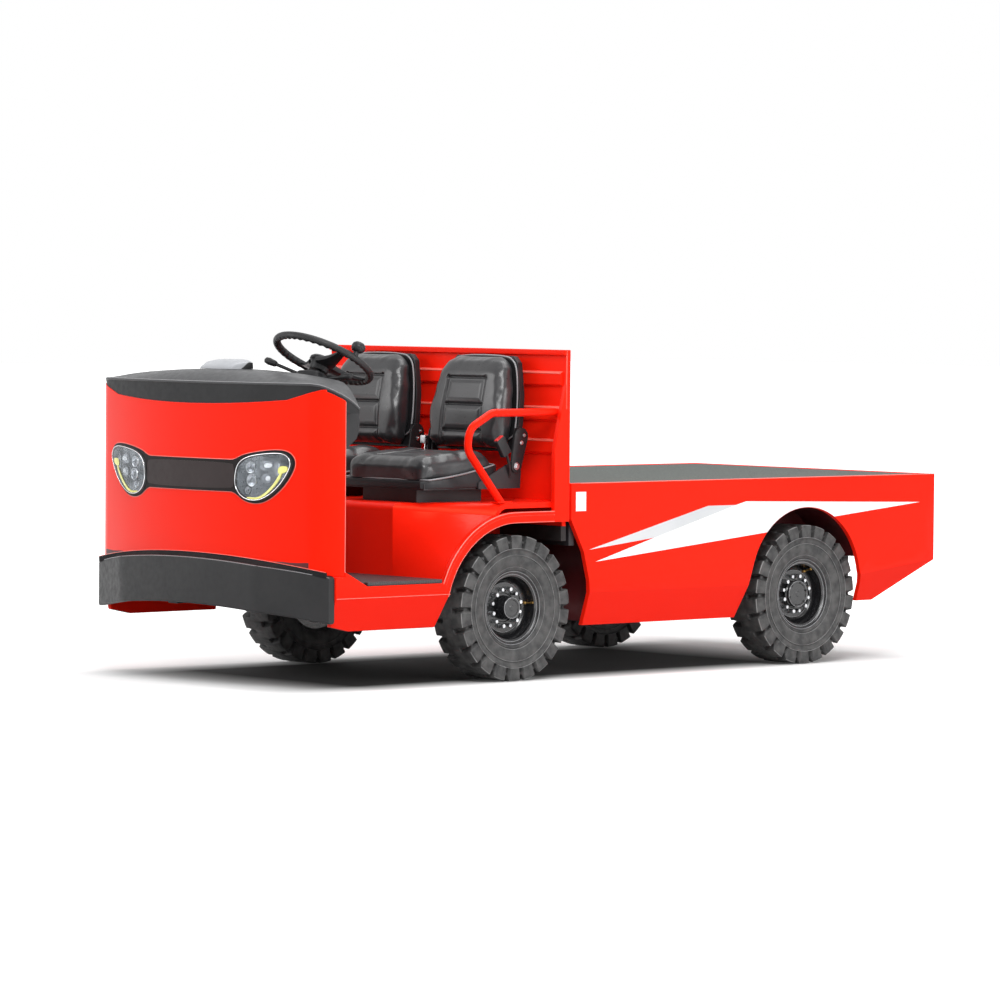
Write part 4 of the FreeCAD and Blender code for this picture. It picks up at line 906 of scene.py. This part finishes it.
def nose_patch(outline, low, high, across=0.012):
    """Closed relief on the curved nose: an (x, z) outline between two distances in front of the skin."""
    bm = bmesh.new()
    corners = [bm.verts.new((x, 0, z)) for x, z in outline]
    bm.faces.new(corners)
    lo_x = min(x for x, z in outline)
    hi_x = max(x for x, z in outline)
    cuts = max(2, int((hi_x - lo_x) / across))
    for i in range(1, cuts):
        x = lo_x + (hi_x - lo_x) * i / cuts
        bmesh.ops.bisect_plane(bm, geom=bm.faces[:] + bm.edges[:] + bm.verts[:], plane_co=(x, 0, 0),
            plane_no=(1, 0, 0))
    back = bmesh.ops.duplicate(bm, geom=bm.faces[:] + bm.edges[:] + bm.verts[:])
    copies = [e for e in back["geom"] if isinstance(e, bmesh.types.BMVert)]
    originals = [v for v in bm.verts if v not in set(copies)]
    for v in originals:
        v.co.y = nose_y(v.co.x, high)
    for v in copies:
        v.co.y = nose_y(v.co.x, low)
    edges = [e for e in bm.edges if e.is_boundary]
    bmesh.ops.bridge_loops(bm, edges=edges)
    bmesh.ops.recalc_face_normals(bm, faces=bm.faces)
    mesh = bpy.data.meshes.new("patch")
    bm.to_mesh(mesh)
    bm.free()
    return mesh


def soft_outline(points, steps=6):
    """Closed smooth outline near the points (quadratic through the edges' middles)."""
    made = []
    n = len(points)
    for i in range(n):
        a, b, c = points[i - 1], points[i], points[(i + 1) % n]
        start = ((a[0] + b[0]) / 2, (a[1] + b[1]) / 2)
        end = ((b[0] + c[0]) / 2, (b[1] + c[1]) / 2)
        for j in range(steps):
            t = j / steps
            made.append(tuple((1 - t) ** 2 * start[k] + 2 * t * (1 - t) * b[k] + t * t * end[k] for k in (0,
                1)))
    return made


def grown(outline, amount):
    """Outline moved outward by amount, along the normals of its points."""
    made = []
    n = len(outline)
    for i in range(n):
        a, c = Vector(outline[i - 1]), Vector(outline[(i + 1) % n])
        t = (c - a).normalized()
        normal = Vector((t.y, -t.x))
        p = Vector(outline[i]) + normal * amount
        made.append((p.x, p.y))
    return made


LENS = [(0.284, 0.838), (0.298, 0.886), (0.346, 0.915), (0.44, 0.93), (0.534, 0.934), (0.566, 0.905),
    (0.56, 0.868), (0.512, 0.802), (0.448, 0.756), (0.39, 0.74), (0.326, 0.75), (0.286, 0.79)]


MASK = [(0.262, 0.899), (0.284, 0.905), (0.322, 0.922), (0.43, 0.94), (0.529, 0.945), (0.572, 0.922),
    (0.582, 0.88), (0.532, 0.804), (0.457, 0.746), (0.392, 0.728), (0.327, 0.738), (0.288, 0.764),
    (0.262, 0.774)]


def make_mask():
    """Dog-bone surround of the lamps, with a pale red bead round it as a painted highlight of the red skin's
    edge, and a flat middle band.
    """
    half = [(0.1, 0.899), (0.24, 0.899)] + MASK + [(0.24, 0.774), (0.1, 0.774)]
    outline = soft_outline(half + [(-x, z) for x, z in reversed(half)], 5)
    obj = as_object("mask_plate", nose_patch(outline, 0.0002, 0.0042), "mask", "chassis",
        smooth=30)
    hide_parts("lamp_mask")
    # Pale red bead round the mask: a painted highlight of the red skin's edge.
    rod("mask_edge", [(x, nose_y(x, 0.0004), z) for x, z in grown(outline, outward(outline) * 0.0012)], 0.0021,
        "red_highlight", closed=True, sides=8)
    band = soft_outline([(-0.262, 0.784), (0.262, 0.784), (0.274, 0.8), (0.276, 0.836), (0.274, 0.874),
        (0.262, 0.889), (-0.262, 0.889), (-0.274, 0.874), (-0.276, 0.836), (-0.274, 0.8)], 5)
    as_object("mask_band", nose_patch(band, 0.003, 0.0052), "band", "chassis")


def outward(outline):
    """1 or -1, so that growing an outline by it moves it out."""
    area = sum(a[0] * b[1] - b[0] * a[1] for a, b in zip(outline, outline[1:] + outline[:1]))
    return 1 if area > 0 else -1


def straight(points, v):
    """Height of a straight-sided line through (v, value) points."""
    for (v0, a), (v1, b) in zip(points, points[1:]):
        if v <= v1:
            return a + (b - a) * max(0, (v - v0) / (v1 - v0))
    return points[-1][1]


LIP = [(-1.8, 1.207), (-1.665, 1.207), (-1.64, 1.201), (-1.557, 1.158), (-1.53, 1.142), (-1.505, 1.125),
    (-1.488, 1.112)]
CROWN = 1.252
COWL_FOOT = 1.09


def make_cowl():
    """Black top cover of the nose: an inset band below a sharp lip, and a low dome inside the lip, whose lighter
    grey is a painted reflection.
    """
    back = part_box("cowl_top")[1].y
    corner = SKIN + NOSE_R - math.sqrt((NOSE_R - CORNER_R) ** 2 - (SIDE - CORNER_R) ** 2)
    start = math.atan2(SIDE - CORNER_R, SKIN + NOSE_R - corner)
    plan = [(SIDE, back), (SIDE, (back + corner) / 2)]
    for i in range(11):
        a = math.pi / 2 + (start - math.pi / 2) * i / 10
        plan.append((SIDE - CORNER_R + CORNER_R * math.sin(a), corner - CORNER_R * math.cos(a)))
    for i in range(1, 17):
        x = plan[12][0] * (1 - i / 16)
        plan.append((x, nose_y(x)))
    plan += [(-x, y) for x, y in reversed(plan[:-1])]
    depth = back - SKIN

    def ring(inset, share, drop, floor=None):
        made = []
        for x, y in plan:
            kx, ky = 1 - inset / SIDE, 1 - inset / depth
            px, py = x * kx * share, back + (y - back) * ky * share
            lip = straight(LIP, y)
            top = CROWN - 0.053 * (px / SIDE) ** 2
            shoulder = 0.55 - 0.38 * smooth_step((abs(x) / SIDE - 0.72) / 0.25)
            inwards = min(1, (1 - share) / shoulder)
            rise = max(0, top - lip) * (1 - (1 - inwards) ** 2.2)
            made.append((px, py, floor if floor is not None else lip + rise - drop))
        return made

    rings = [ring(0.003, 1, 0, COWL_FOOT), ring(0.003, 1, 0.0105), ring(0.0004, 1, 0.0085), ring(0, 1, 0.003),
        ring(0.0008, 1, 0.0009), ring(0.003, 1, 0)]
    rings += [ring(0.003, share, 0) for share in (0.985, 0.965, 0.94, 0.91, 0.87, 0.82, 0.76, 0.69, 0.61, 0.52,
        0.42, 0.31, 0.2, 0.09, 0.01)]
    rings += [ring(0.016, share, 0.012) for share in (0.02, 0.4, 0.8, 0.94, 1)] + [ring(0.016, 1, 0, COWL_FOOT)]
    verts = [p for r in rings for p in r]
    count = len(plan)
    faces = ring_faces(len(rings), count, closed_ends=False)
    last = (len(rings) - 1) * count
    faces += [(last + j, last + (j + 1) % count, (j + 1) % count, j) for j in range(count)]
    obj = as_object("cowl_cover", fix_normals(from_data("cowl", verts, faces)), "cowl", "chassis")
    # The band keeps the near-black plastic; the dome's lighter grey is a painted reflection.
    obj.data.materials.append(MAT["cowl_band"])
    for face in list(obj.data.polygons)[:count]:
        face.material_index = 1
    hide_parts("cowl_top")
    # Pale grey line along the lip: a painted highlight.
    edge = [(x, y, straight(LIP, y) - 0.0012) for x, y in plan]
    rod("cowl_lip", edge, 0.0016, "trim_highlight", sides=8)


def make_lamps():
    """Headlamps: housing, bowls with rims, amber strips, bezel and clear lens."""
    outline = soft_outline(LENS)
    out = outward(outline)
    for side, s in SIDES:
        place = placer(s)
        housing = nose_patch(grown(outline, -out * 0.006), 0.004, 0.0052)
        as_object(f"lamp_housing_{side}", place(housing), "reflector")
        shade = nose_patch(grown(outline, out * 0.004), 0.0034, 0.005)
        as_object(f"lamp_shade_{side}", place(shade), "rubber")
        ring = [(s * x, nose_y(x, 0.0112), z) for x, z in grown(outline, -out * 0.001)]
        rod(f"lamp_bezel_{side}", ring, 0.0015, "chrome", closed=True, sides=8)
        lens = nose_patch(grown(outline, -out * 0.0025), 0.0102, 0.012)
        obj = as_object(f"lamp_lens_{side}", place(lens), "lens", "chassis")
        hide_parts("headlamps")
        bowls, rims = [], []
        for x, z, r in ((0.364, 0.872, 0.022), (0.37, 0.822, 0.024), (0.352, 0.782, 0.014)):
            bowl = [(0.005, 0), (0.005, r * 0.35), (0.0058, r * 0.42), (0.0054, r * 0.62), (0.008, r * 0.92),
                (0.005, r * 0.98)]
            bowls.append(turned(bowl, 26, (x, nose_y(x), z), nose_normal(x)))
            rims.append(turned([(0.005, r * 0.96), (0.0088, r * 0.94), (0.0092, r), (0.005, r * 1.06)], 26,
                (x, nose_y(x), z), nose_normal(x), closed=True))
        for x0, x1, z0, z1 in ((0.412, 0.478, 0.862, 0.9), (0.42, 0.47, 0.812, 0.85), (0.486, 0.512, 0.842,
                0.9)):
            cell = [(x0, z0), (x1, z0), (x1, z1), (x0, z1)]
            bowls.append(nose_patch(soft_outline(cell, 4), 0.005, 0.0068))
            rims.append(nose_patch(soft_outline([(x0 + 0.02, z0 + 0.01), (x1 - 0.004, z0 + 0.012), (x1 - 0.006,
                z1 - 0.008), (x0 + 0.024, z1 - 0.01)], 4), 0.006, 0.008))
        as_object(f"lamp_bowls_{side}", place(joined(bowls)), "bowl", smooth=34)
        as_object(f"lamp_rims_{side}", place(joined(rims)), "zinc", smooth=34)
        glow = joined([nose_patch(soft_outline(p, 4), 0.005, 0.009) for p in ([(0.346, 0.75), (0.398, 0.744),
            (0.448, 0.766), (0.5, 0.814), (0.522, 0.852), (0.512, 0.854), (0.49, 0.818), (0.442, 0.774),
            (0.398, 0.752), (0.348, 0.757)], [(0.5, 0.846), (0.546, 0.858), (0.55, 0.882), (0.506, 0.882)])])
        as_object(f"lamp_strips_{side}", place(glow), "yellow")


def nose_normal(x):
    return Vector((x, -math.sqrt(NOSE_R ** 2 - x * x), 0)).normalized()


def bumper_y(x):
    """Front face of the bumper across the truck: a flat bow between facets that turn back to its ends."""
    lo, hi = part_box("bumper")
    facet, end = 0.43, hi.x
    if abs(x) > facet:
        return lo.y + 0.031 + 0.121 * (abs(x) - facet) / (end - facet)
    bow = (facet ** 2 + 0.031 ** 2) / 0.062
    return lo.y + bow - math.sqrt(bow ** 2 - x * x)


def make_nose_details():
    """Dark red tray under the nose as painted shade, the bumper's pale edge line as a painted highlight, its
    ledge, and the red skin's foot as a pale line of painted highlight.
    """
    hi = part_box("bumper")[1]
    # Dark red tray under the nose: painted shade over the red skin's lower edge.
    tray = [(x, nose_y(x, 0.0012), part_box("front_fascia")[0].z - 0.0008) for x in (-0.64, -0.5, -0.35, -0.2, 0,
        0.2, 0.35, 0.5, 0.64)]
    tray += [(0.64, FRONT + 0.2, tray[0][2]), (-0.64, FRONT + 0.2, tray[0][2])]
    as_object("nose_tray", prism(tray, (0, 0, 0.055), 0.003, 2), "red_in_shade")
    arch = 4.74
    xs = [hi.x * (i / 24 - 1) for i in range(49)]
    top = [hi.z - arch + math.sqrt(arch ** 2 - x * x) for x in xs]
    # Pale grey line along the bumper's top front edge: a painted highlight.
    rod("bumper_line", [(x * 0.998, bumper_y(x) + 0.003, z - 0.0032) for x, z in zip(xs, top)], 0.0016,
        "trim_highlight", sides=8)
    ledge = []
    for share, out, up in ((0, 0.01, -0.004), (0, 0.011, 0.001), (1, -0.0022, 0.014), (1, -0.0012, 0.0165),
            (1, 0.006, 0.0165), (1, 0.006, -0.004)):
        ring = []
        for x, z in zip(xs, top):
            x *= 0.985
            front, skin = bumper_y(x) + 0.01, nose_y(x)
            start = min(front, skin - 0.0022)
            ring.append((x, start + (skin - start) * share + out - (0.01 if not share else 0), z + up))
        ledge.append(ring)
    count = len(xs)
    faces = [(i * count + j, i * count + j + 1, ((i + 1) % 6) * count + j + 1, ((i + 1) % 6) * count + j)
        for i in range(6) for j in range(count - 1)]
    faces += [tuple(i * count for i in range(6)), tuple(i * count + count - 1 for i in range(6))]
    mesh = fix_normals(from_data("ledge", [p for r in ledge for p in r], faces))
    as_object("bumper_ledge", mesh, "ledge", "chassis")
    # Pale red line along the foot of the red skin: a painted highlight.
    foot = [(x * 0.985, nose_y(x * 0.985, 0.0012), z + 0.0178) for x, z in zip(xs, top)]
    rod("nose_foot", foot, 0.0015, "red_highlight", sides=8)


# ---------------- stripes and plates
ARCH_CENTRE = (REAR_HUB.y - 0.032, REAR_HUB.z + 0.043)
ARCH_R = TYRE_R + 0.033 + 0.002


def arch_point(degrees):
    a = math.radians(degrees)
    return (ARCH_CENTRE[0] + ARCH_R * math.cos(a), ARCH_CENTRE[1] + ARCH_R * math.sin(a))


def film(name, outline, material, depth=PROUD):
    """Thin film on both body sides, from a (y, z) outline."""
    sheet = prism([(SIDE - 0.0002, y, z) for y, z in outline], (depth, 0, 0))
    as_object(name, joined([sheet, mirrored(sheet)]), material, smooth=0)


def make_stripes():
    """White and grey bands along the body sides, and the bare label."""
    over_arch = [arch_point(d) for d in range(60, 137, 4)]
    lower_y = over_arch[-1]
    film("stripe_white", [(-0.218, 0.473), lower_y] + list(reversed(over_arch[:-1])) + [(1.696, 0.674),
        (0.641, 0.7), (0.582, 0.686), (0.112, 0.562)], "white")
    film("stripe_grey", [(-0.254, 0.523), (0.112, 0.562), (0.582, 0.686), (0.419, 0.686)], "grey_film")
    film("side_label", [(-0.331, 0.681), (-0.275, 0.681), (-0.275, 0.759), (-0.331, 0.759)], "white")


# ---------------- body trim
def make_fender_beads():
    """Rounded beads pressed round the front arches and back to the bulkhead; their pale red is a painted
    highlight.
    """
    c = (FRONT_HUB.y - 0.027, FRONT_HUB.z - 0.03)
    for gap, radius, tag in ((0.0435, 0.0024, "outer"), (0.03, 0.0016, "groove"), (0.003, 0.002, "inner")):
        r = TYRE_R + 0.08 + gap
        path = []
        for d in range(166 if gap < 0.02 else 160, 89, -6):
            a = math.radians(d)
            path.append((SIDE - 0.0015, c[0] + r * math.cos(a), c[1] + r * math.sin(a)))
        path.append((SIDE - 0.0015, c[0] + 0.1, c[1] + r))
        path.append((SIDE - 0.0015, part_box("bulkhead")[0].y + 0.002, c[1] + r))
        # Pale red beads: painted highlights along the arch flanges.
        for side, s in SIDES:
            rod(f"arch_bead_{tag}_{side}", [(s * x, y, z) for x, y, z in path], radius, "red_highlight", "chassis",
                sides=10)


RIB_DROPS = (0.119, 0.26, 0.394)              # from the bulkhead's top down to its ribs


def make_edge_lines():
    """Painted highlights: pale red lines on the bulkhead ribs and wings, side panel tops, sill creases and the
    nose's sides.
    """
    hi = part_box("bulkhead")[1]
    face = hi.y - 0.022
    half = SIDE - 0.024
    for i, down in enumerate(RIB_DROPS):
        z = hi.z - down + 0.024
        # Pale red line along each rib's top edge: a painted highlight.
        rod(f"rib_line_{i}", [(-half, face - 0.012, z), (0, face - 0.012, z), (half, face - 0.012, z)], 0.003,
            "red_highlight", sides=8)
        # Pale strip on each rib's sloped top: a painted reflection.
        tilted = prism([(-half, face - 0.0128, z - 0.001), (half, face - 0.0128, z - 0.001),
            (half, face - 0.0008, z + 0.0072), (-half, face - 0.0008, z + 0.0072)], (0, -0.0006, 0.0006))
        as_object(f"rib_slope_{i}", tilted, "red_highlight", smooth=0)
    panel_lo, panel_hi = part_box("side_panel_left")
    for side, s in SIDES:
        lines = {"panel_top": [(SIDE - 0.001, y, panel_hi.z - 0.0012) for y in (panel_lo.y + 0.05, 0.6,
            REAR - 0.004)], "sill_crease": [(SIDE - 0.0012, y, 0.367) for y in (-1.6, -1.3, FRONT_HUB.y
            - 0.385)], "wing_front": [(SIDE - 0.0012, face + 0.0012, hi.z - 0.004), (SIDE - 0.0012,
            face + 0.0012, hi.z - 0.2), (SIDE - 0.0012, face + 0.0012, hi.z - 0.24)],
            "nose_side": [(SIDE - 0.0016, FRONT + 0.2295, z) for z in (0.47, 0.8, 1.136)]}
        # Pale red lines along panel tops, sill creases, wing fronts and nose sides: painted highlights.
        for tag, path in lines.items():
            rod(f"{tag}_{side}", [(s * x, y, z) for x, y, z in path], 0.0017, "red_highlight", sides=8)


# ---------------- controls
def steering_axes():
    """Middle of the steering wheel, its axis, and the direction up across it."""
    joint = joint_of("steering_wheel_turn")
    hub = Vector(joint["pos_m"])
    axis = Vector(joint["axis"]).normalized()
    return hub, axis, Vector((1, 0, 0)).cross(axis)


GRIP_R, GRIP_TUBE = 0.1985, 0.0158
SCALLOPS = 42                                  # finger grips round the steering wheel
KNOB_AT = 3                                    # degrees from the wheel's left


def make_steering_wheel():
    """Scalloped grip, three tapered arms, hub cap and spinner knob."""
    hub, axis, up = steering_axes()
    across = Vector((1, 0, 0))
    big, small = GRIP_R, GRIP_TUBE

    def ray(a):
        return across * math.cos(a) + up * math.sin(a)

    plane = hub + axis * 0.022
    verts = []
    steps, sides = 168, 20
    for i in range(steps):
        a = 2 * math.pi * i / steps
        out = ray(a)
        scallop = 0.5 + 0.5 * math.cos(a * SCALLOPS)
        for j in range(sides):
            b = 2 * math.pi * j / sides
            inner = max(0, -math.cos(b) * 0.7 - math.sin(b) * 0.7)
            r = small - 0.005 * scallop * inner
            verts.append(plane + out * (big + r * math.cos(b)) + axis * r * math.sin(b))
    faces = []
    for i in range(steps):
        for j in range(sides):
            k, m = (i + 1) % steps, (j + 1) % sides
            faces.append((i * sides + j, k * sides + j, k * sides + m, i * sides + m))
    grip = fix_normals(from_data("grip", verts, faces))
    cap = turned([(-0.034, 0), (-0.034, 0.038), (-0.006, 0.042), (0.004, 0.052), (0.014, 0.051), (0.022, 0.042),
        (0.025, 0.02), (0.025, 0)], 40, hub, axis)
    arms = []
    for degrees in (18, 198, 288):
        out = ray(math.radians(degrees))
        side = axis.cross(out)
        start, end = hub + out * 0.03 - axis * 0.002, hub + out * 0.19 + axis * 0.022
        ring = []
        for t in range(9):
            k = t / 8
            middle = start.lerp(end, k) - axis * 0.008 * math.sin(math.pi * k)
            half = 0.03 * (1 - k) ** 1.3 + 0.015
            thick = 0.0085 * (1 - k) + 0.0065
            ring.append([middle + side * u * half + axis * w * thick for u, w in rounded_ring(1, 1, 12, 0.6)])
        arms.append(lofted("arm", ring))
    knob = turned([(0.01, 0), (0.01, 0.012), (0.026, 0.011), (0.03, 0.02), (0.038, 0.0265), (0.05, 0.0285),
        (0.06, 0.026), (0.067, 0.018), (0.07, 0.008), (0.07, 0)], 32, plane + ray(math.radians(KNOB_AT)) * big,
        axis)
    shaft = turned([(-0.084, 0), (-0.084, 0.011), (-0.03, 0.011), (-0.03, 0)], 24, hub, axis)
    obj = as_object("steering_wheel_grip", grip, "rubber", "steering_wheel", smooth=60)
    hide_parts("steering_wheel")
    as_object("steering_wheel_spokes", joined(arms + [cap, knob, shaft]), "black", "steering_wheel",
        smooth=40)


def make_column_trim():
    """Moulded housing round the top of the column, and the grips on its two stalks."""
    hub, axis, up = steering_axes()
    rings = []
    for down, half_x, half_y in ((0.052, 0.054, 0.045), (0.056, 0.072, 0.056), (0.1, 0.088, 0.062),
            (0.15, 0.096, 0.06), (0.176, 0.084, 0.052)):
        middle = hub - axis * down - up * 0.004 - Vector((0.012, 0, 0))
        rings.append([middle + Vector((1, 0, 0)) * u + up * w for u, w in rounded_ring(half_x, half_y, 36,
            0.6)])
    as_object("column_housing", bevelled(lofted("shroud", rings), 0.004, 2, 50), "black", "chassis",
        smooth=40)
    grips = []
    stalk_root = hub - axis * 0.076
    for lean, length in ((Vector((-0.93, -0.2, 0.3)), 0.255), (Vector((0.99, 0.1, 0.1)), 0.2)):
        direction = lean.normalized()
        start = stalk_root + direction * (length - 0.054)
        grips.append(turned([(0, 0), (0, 0.009), (0.008, 0.0125), (0.04, 0.015), (0.054, 0.0125), (0.06, 0.006),
            (0.061, 0)], 24, start, direction))
    as_object("stalk_grips", joined(grips), "rubber", "chassis", smooth=40)


def make_pod():
    """Light grey instrument pod with a dark screen towards the driver."""
    lo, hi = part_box("instrument_pod")
    centre = (lo + hi) / 2
    half = (hi.x - lo.x) / 2
    rings = []
    for t, width, top in ((0.0, 0.86, 0.1), (0.1, 0.95, 0.42), (0.3, 1.0, 0.8), (0.6, 1.0, 0.98),
            (0.9, 0.97, 1.0), (1.0, 0.93, 0.96)):
        y = lo.y + (hi.y - lo.y) * t
        height = (hi.z - lo.z) * 1.25 * top
        ring = []
        for j in range(25):
            a = math.pi * j / 24
            c, s = math.cos(a), math.sin(a)
            ring.append((centre.x + half * width * math.copysign(abs(c) ** 0.5, c), y, lo.z + height
                * s ** 0.45))
        rings.append(ring)
    obj = as_object("pod_hood", lofted("pod", rings), "pod", "chassis", smooth=50)
    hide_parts("instrument_pod")
    back = rings[-1]
    inner = [(centre.x + (x - centre.x) * 0.88, y, lo.z + (z - lo.z) * 0.86 + 0.002) for x, y, z in back]
    screen = prism(inner, (0, 0.0015, 0), 0)
    as_object("pod_screen", screen, "mask", smooth=0)
    end_x = hi.x - 0.0035
    end = prism([(end_x, lo.y + 0.055, lo.z + 0.001), (end_x, hi.y - 0.004, lo.z + 0.001), (end_x, hi.y - 0.006,
        hi.z - 0.006), (end_x, lo.y + 0.095, hi.z - 0.004)], (0.006, 0, 0), 0.002, 2)
    as_object("pod_end", end, "black")


def make_dash_details():
    """Rocker switches, key switch and emergency button on the dash."""
    lo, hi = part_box("dash_panel")
    y = hi.y
    z = lo.z + (hi.z - lo.z) * 0.6
    rockers = []
    for i in range(4):
        x = 0.02 + i * 0.034
        rockers.append(block((x - 0.012, y - 0.004, z - 0.02), (x + 0.012, y + 0.004, z + 0.02), 0.002))
    as_object("rocker_switches", joined(rockers), "rubber")
    key = turned([(-0.004, 0), (-0.004, 0.016), (0.003, 0.016), (0.005, 0.012), (0.005, 0)], 28, (-0.05, y, z),
        (0, 1, 0))
    as_object("key_switch", key, "zinc", smooth=34)
    stop = turned([(-0.004, 0), (-0.004, 0.014), (0.01, 0.014), (0.012, 0.022), (0.022, 0.022), (0.026, 0.016),
        (0.027, 0)], 32, (-0.12, y, z), (0, 1, 0))
    as_object("stop_button", stop, "red_button", smooth=34)


def make_tail():
    """Rear lamps: a dark base with a red and an amber lens."""
    lo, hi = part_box("tail_lamps")
    z0, z1 = lo.z, hi.z
    x1 = hi.x
    for side, s in SIDES:
        place = placer(s)
        width = 0.13
        frame_mesh = block((x1 - width, REAR - 0.006, z0), (x1, REAR - 0.0015, z1), 0.004)
        made = as_object(f"tail_base_{side}", place(frame_mesh), "black")
        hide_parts("tail_lamps")
        stop = block((x1 - width + 0.004, REAR - 0.003, z0 + 0.005), (x1 - 0.048, REAR, z1 - 0.005), 0.003)
        turn = block((x1 - 0.044, REAR - 0.003, z0 + 0.005), (x1 - 0.004, REAR, z1 - 0.005), 0.003)
        as_object(f"tail_stop_{side}", place(stop), "red_lens", "chassis")
        as_object(f"tail_turn_{side}", place(turn), "amber_lens")


# ---------------- floor, light and camera
FLOOR_SIZE = 60
SHADOW_EDGES = (("X", -0.78, -0.5), ("X", 0.78, 0.5), ("Y", -1.84, -1.3), ("Y", 1.5, 0.95))
FADE_FROM, FADE_TO = 2.6, 6.5                  # distances over which the floor turns plain white


def combined(tree, operation, a, b):
    """Two values put together by a math node."""
    made = add(tree, "ShaderNodeMath", operation=operation)
    tree.links.new(a, made.inputs[0])
    tree.links.new(b, made.inputs[1])
    return made.outputs[0]


def seen_directly(tree):
    """1 for camera, mirror and see-through rays, 0 for the light that surfaces pass to each other."""
    rays = add(tree, "ShaderNodeLightPath").outputs
    through = combined(tree, "MAXIMUM", rays["Is Camera Ray"], rays["Is Transmission Ray"])
    return combined(tree, "MAXIMUM", through, rays["Is Glossy Ray"])


def make_stage():
    """White floor that fades out with distance, with a dark patch under the truck between its SHADOW_EDGES."""
    floor = from_data("floor", [(x * FLOOR_SIZE, y * FLOOR_SIZE, 0) for x, y in ((-1, -1), (1, -1), (1, 1),
        (-1, 1))], [(0, 1, 2, 3)])
    m, tree, shader = new_material("floor")
    shader.inputs["Roughness"].default_value = 0.9
    seen = seen_directly(tree)
    where = add(tree, "ShaderNodeTexCoord")
    parts = add(tree, "ShaderNodeSeparateXYZ")
    tree.links.new(where.outputs["Object"], parts.inputs[0])
    shade = seen
    for axis, clear, full in SHADOW_EDGES:
        low, high = sorted((clear, full))
        inside = between(tree, parts.outputs[axis], low, high, *((0.0, 1.0) if full > clear else (1.0, 0.0)))
        shade = combined(tree, "MULTIPLY", shade, inside)
    bright = between(tree, shade, 0, 1, 0.96, 0.01)
    grey = add(tree, "ShaderNodeCombineXYZ")
    for channel in grey.inputs:
        tree.links.new(bright, channel)
    mixed = add(tree, "ShaderNodeMix", data_type="RGBA")
    tree.links.new(seen, mixed.inputs["Factor"])
    mixed.inputs[6].default_value = (0.42, 0.42, 0.42, 1)
    tree.links.new(grey.outputs[0], mixed.inputs[7])
    tree.links.new(mixed.outputs[2], shader.inputs["Base Color"])
    length = add(tree, "ShaderNodeVectorMath", operation="LENGTH")
    tree.links.new(where.outputs["Object"], length.inputs[0])
    fade = between(tree, length.outputs["Value"], FADE_FROM, FADE_TO, 0.1, 1.0)
    strength = combined(tree, "MULTIPLY", fade, seen)
    lit = combined(tree, "MULTIPLY", strength, between(tree, shade, 0, 1, 1.0, 0.0))
    glow = add(tree, "ShaderNodeEmission")
    tree.links.new(lit, glow.inputs["Strength"])
    total = add(tree, "ShaderNodeAddShader")
    tree.links.new(shader.outputs[0], total.inputs[0])
    tree.links.new(glow.outputs[0], total.inputs[1])
    tree.links.new(total.outputs[0], tree.nodes["Material Output"].inputs[0])
    obj = linked("floor", floor)
    floor.materials.append(m)


def make_world():
    world = bpy.data.worlds.new("studio")
    bpy.context.scene.world = world
    world.use_nodes = True
    tree = world.node_tree
    ground = tree.nodes["Background"]
    ground.inputs["Color"].default_value = (1, 1, 1, 1)
    tree.links.new(between(tree, seen_directly(tree), 0, 1, 0.44, 1.0), ground.inputs["Strength"])


def area_light(name, at, target, size, power):
    light = bpy.data.lights.new(name, "AREA")
    light.shape = "RECTANGLE"
    light.size, light.size_y = size
    light.energy = power
    obj = linked(name, light)
    obj.location = at
    obj.rotation_mode = "QUATERNION"
    obj.rotation_quaternion = (Vector(target) - Vector(at)).to_track_quat("-Z", "Y")


def make_lights():
    area_light("key", (6.5, -5.0, 7.0), (0, 0, 0.6), (4, 4), 640)
    area_light("fill", (-4.5, -8.0, 4.0), (0, -1.0, 0.7), (5, 4), 260)
    area_light("side", (9.0, 2.5, 2.6), (0.7, 0.6, 0.5), (5, 2.5), 300)
    area_light("top", (0.5, 1.5, 8.0), (0, 0.2, 0.5), (6, 6), 440)


CAMERA_AT = (16.3337, -14.8793, 1.6206)
AZIMUTH, PITCH, ROLL = math.radians(47.823), math.radians(2.407), math.radians(0.486)
LENS_MM = 189.53


def make_camera():
    camera = bpy.data.cameras.new("camera")
    camera.lens = LENS_MM
    camera.sensor_width = 36
    camera.clip_end = 200
    obj = linked("camera", camera)
    bpy.context.scene.camera = obj
    view = Vector((-math.sin(AZIMUTH) * math.cos(PITCH), math.cos(AZIMUTH) * math.cos(PITCH), -math.sin(PITCH)))
    right = Vector((math.cos(AZIMUTH), math.sin(AZIMUTH), 0))
    up = right.cross(view)
    x = right * math.cos(ROLL) + up * math.sin(ROLL)
    y = -right * math.sin(ROLL) + up * math.cos(ROLL)
    turn = Matrix((x, y, -view)).transposed()
    obj.matrix_world = Matrix.Translation(CAMERA_AT) @ turn.to_4x4()


# ---------------- build
bpy.context.scene.view_settings.view_transform = "Standard"
dress_solids()
make_wheels()
make_seats()
make_seat_fittings()
make_cowl()
make_mask()
make_lamps()
make_nose_details()
make_stripes()
make_fender_beads()
make_edge_lines()
make_steering_wheel()
make_column_trim()
make_pod()
make_dash_details()
make_tail()
make_stage()
make_world()
make_lights()
make_camera()
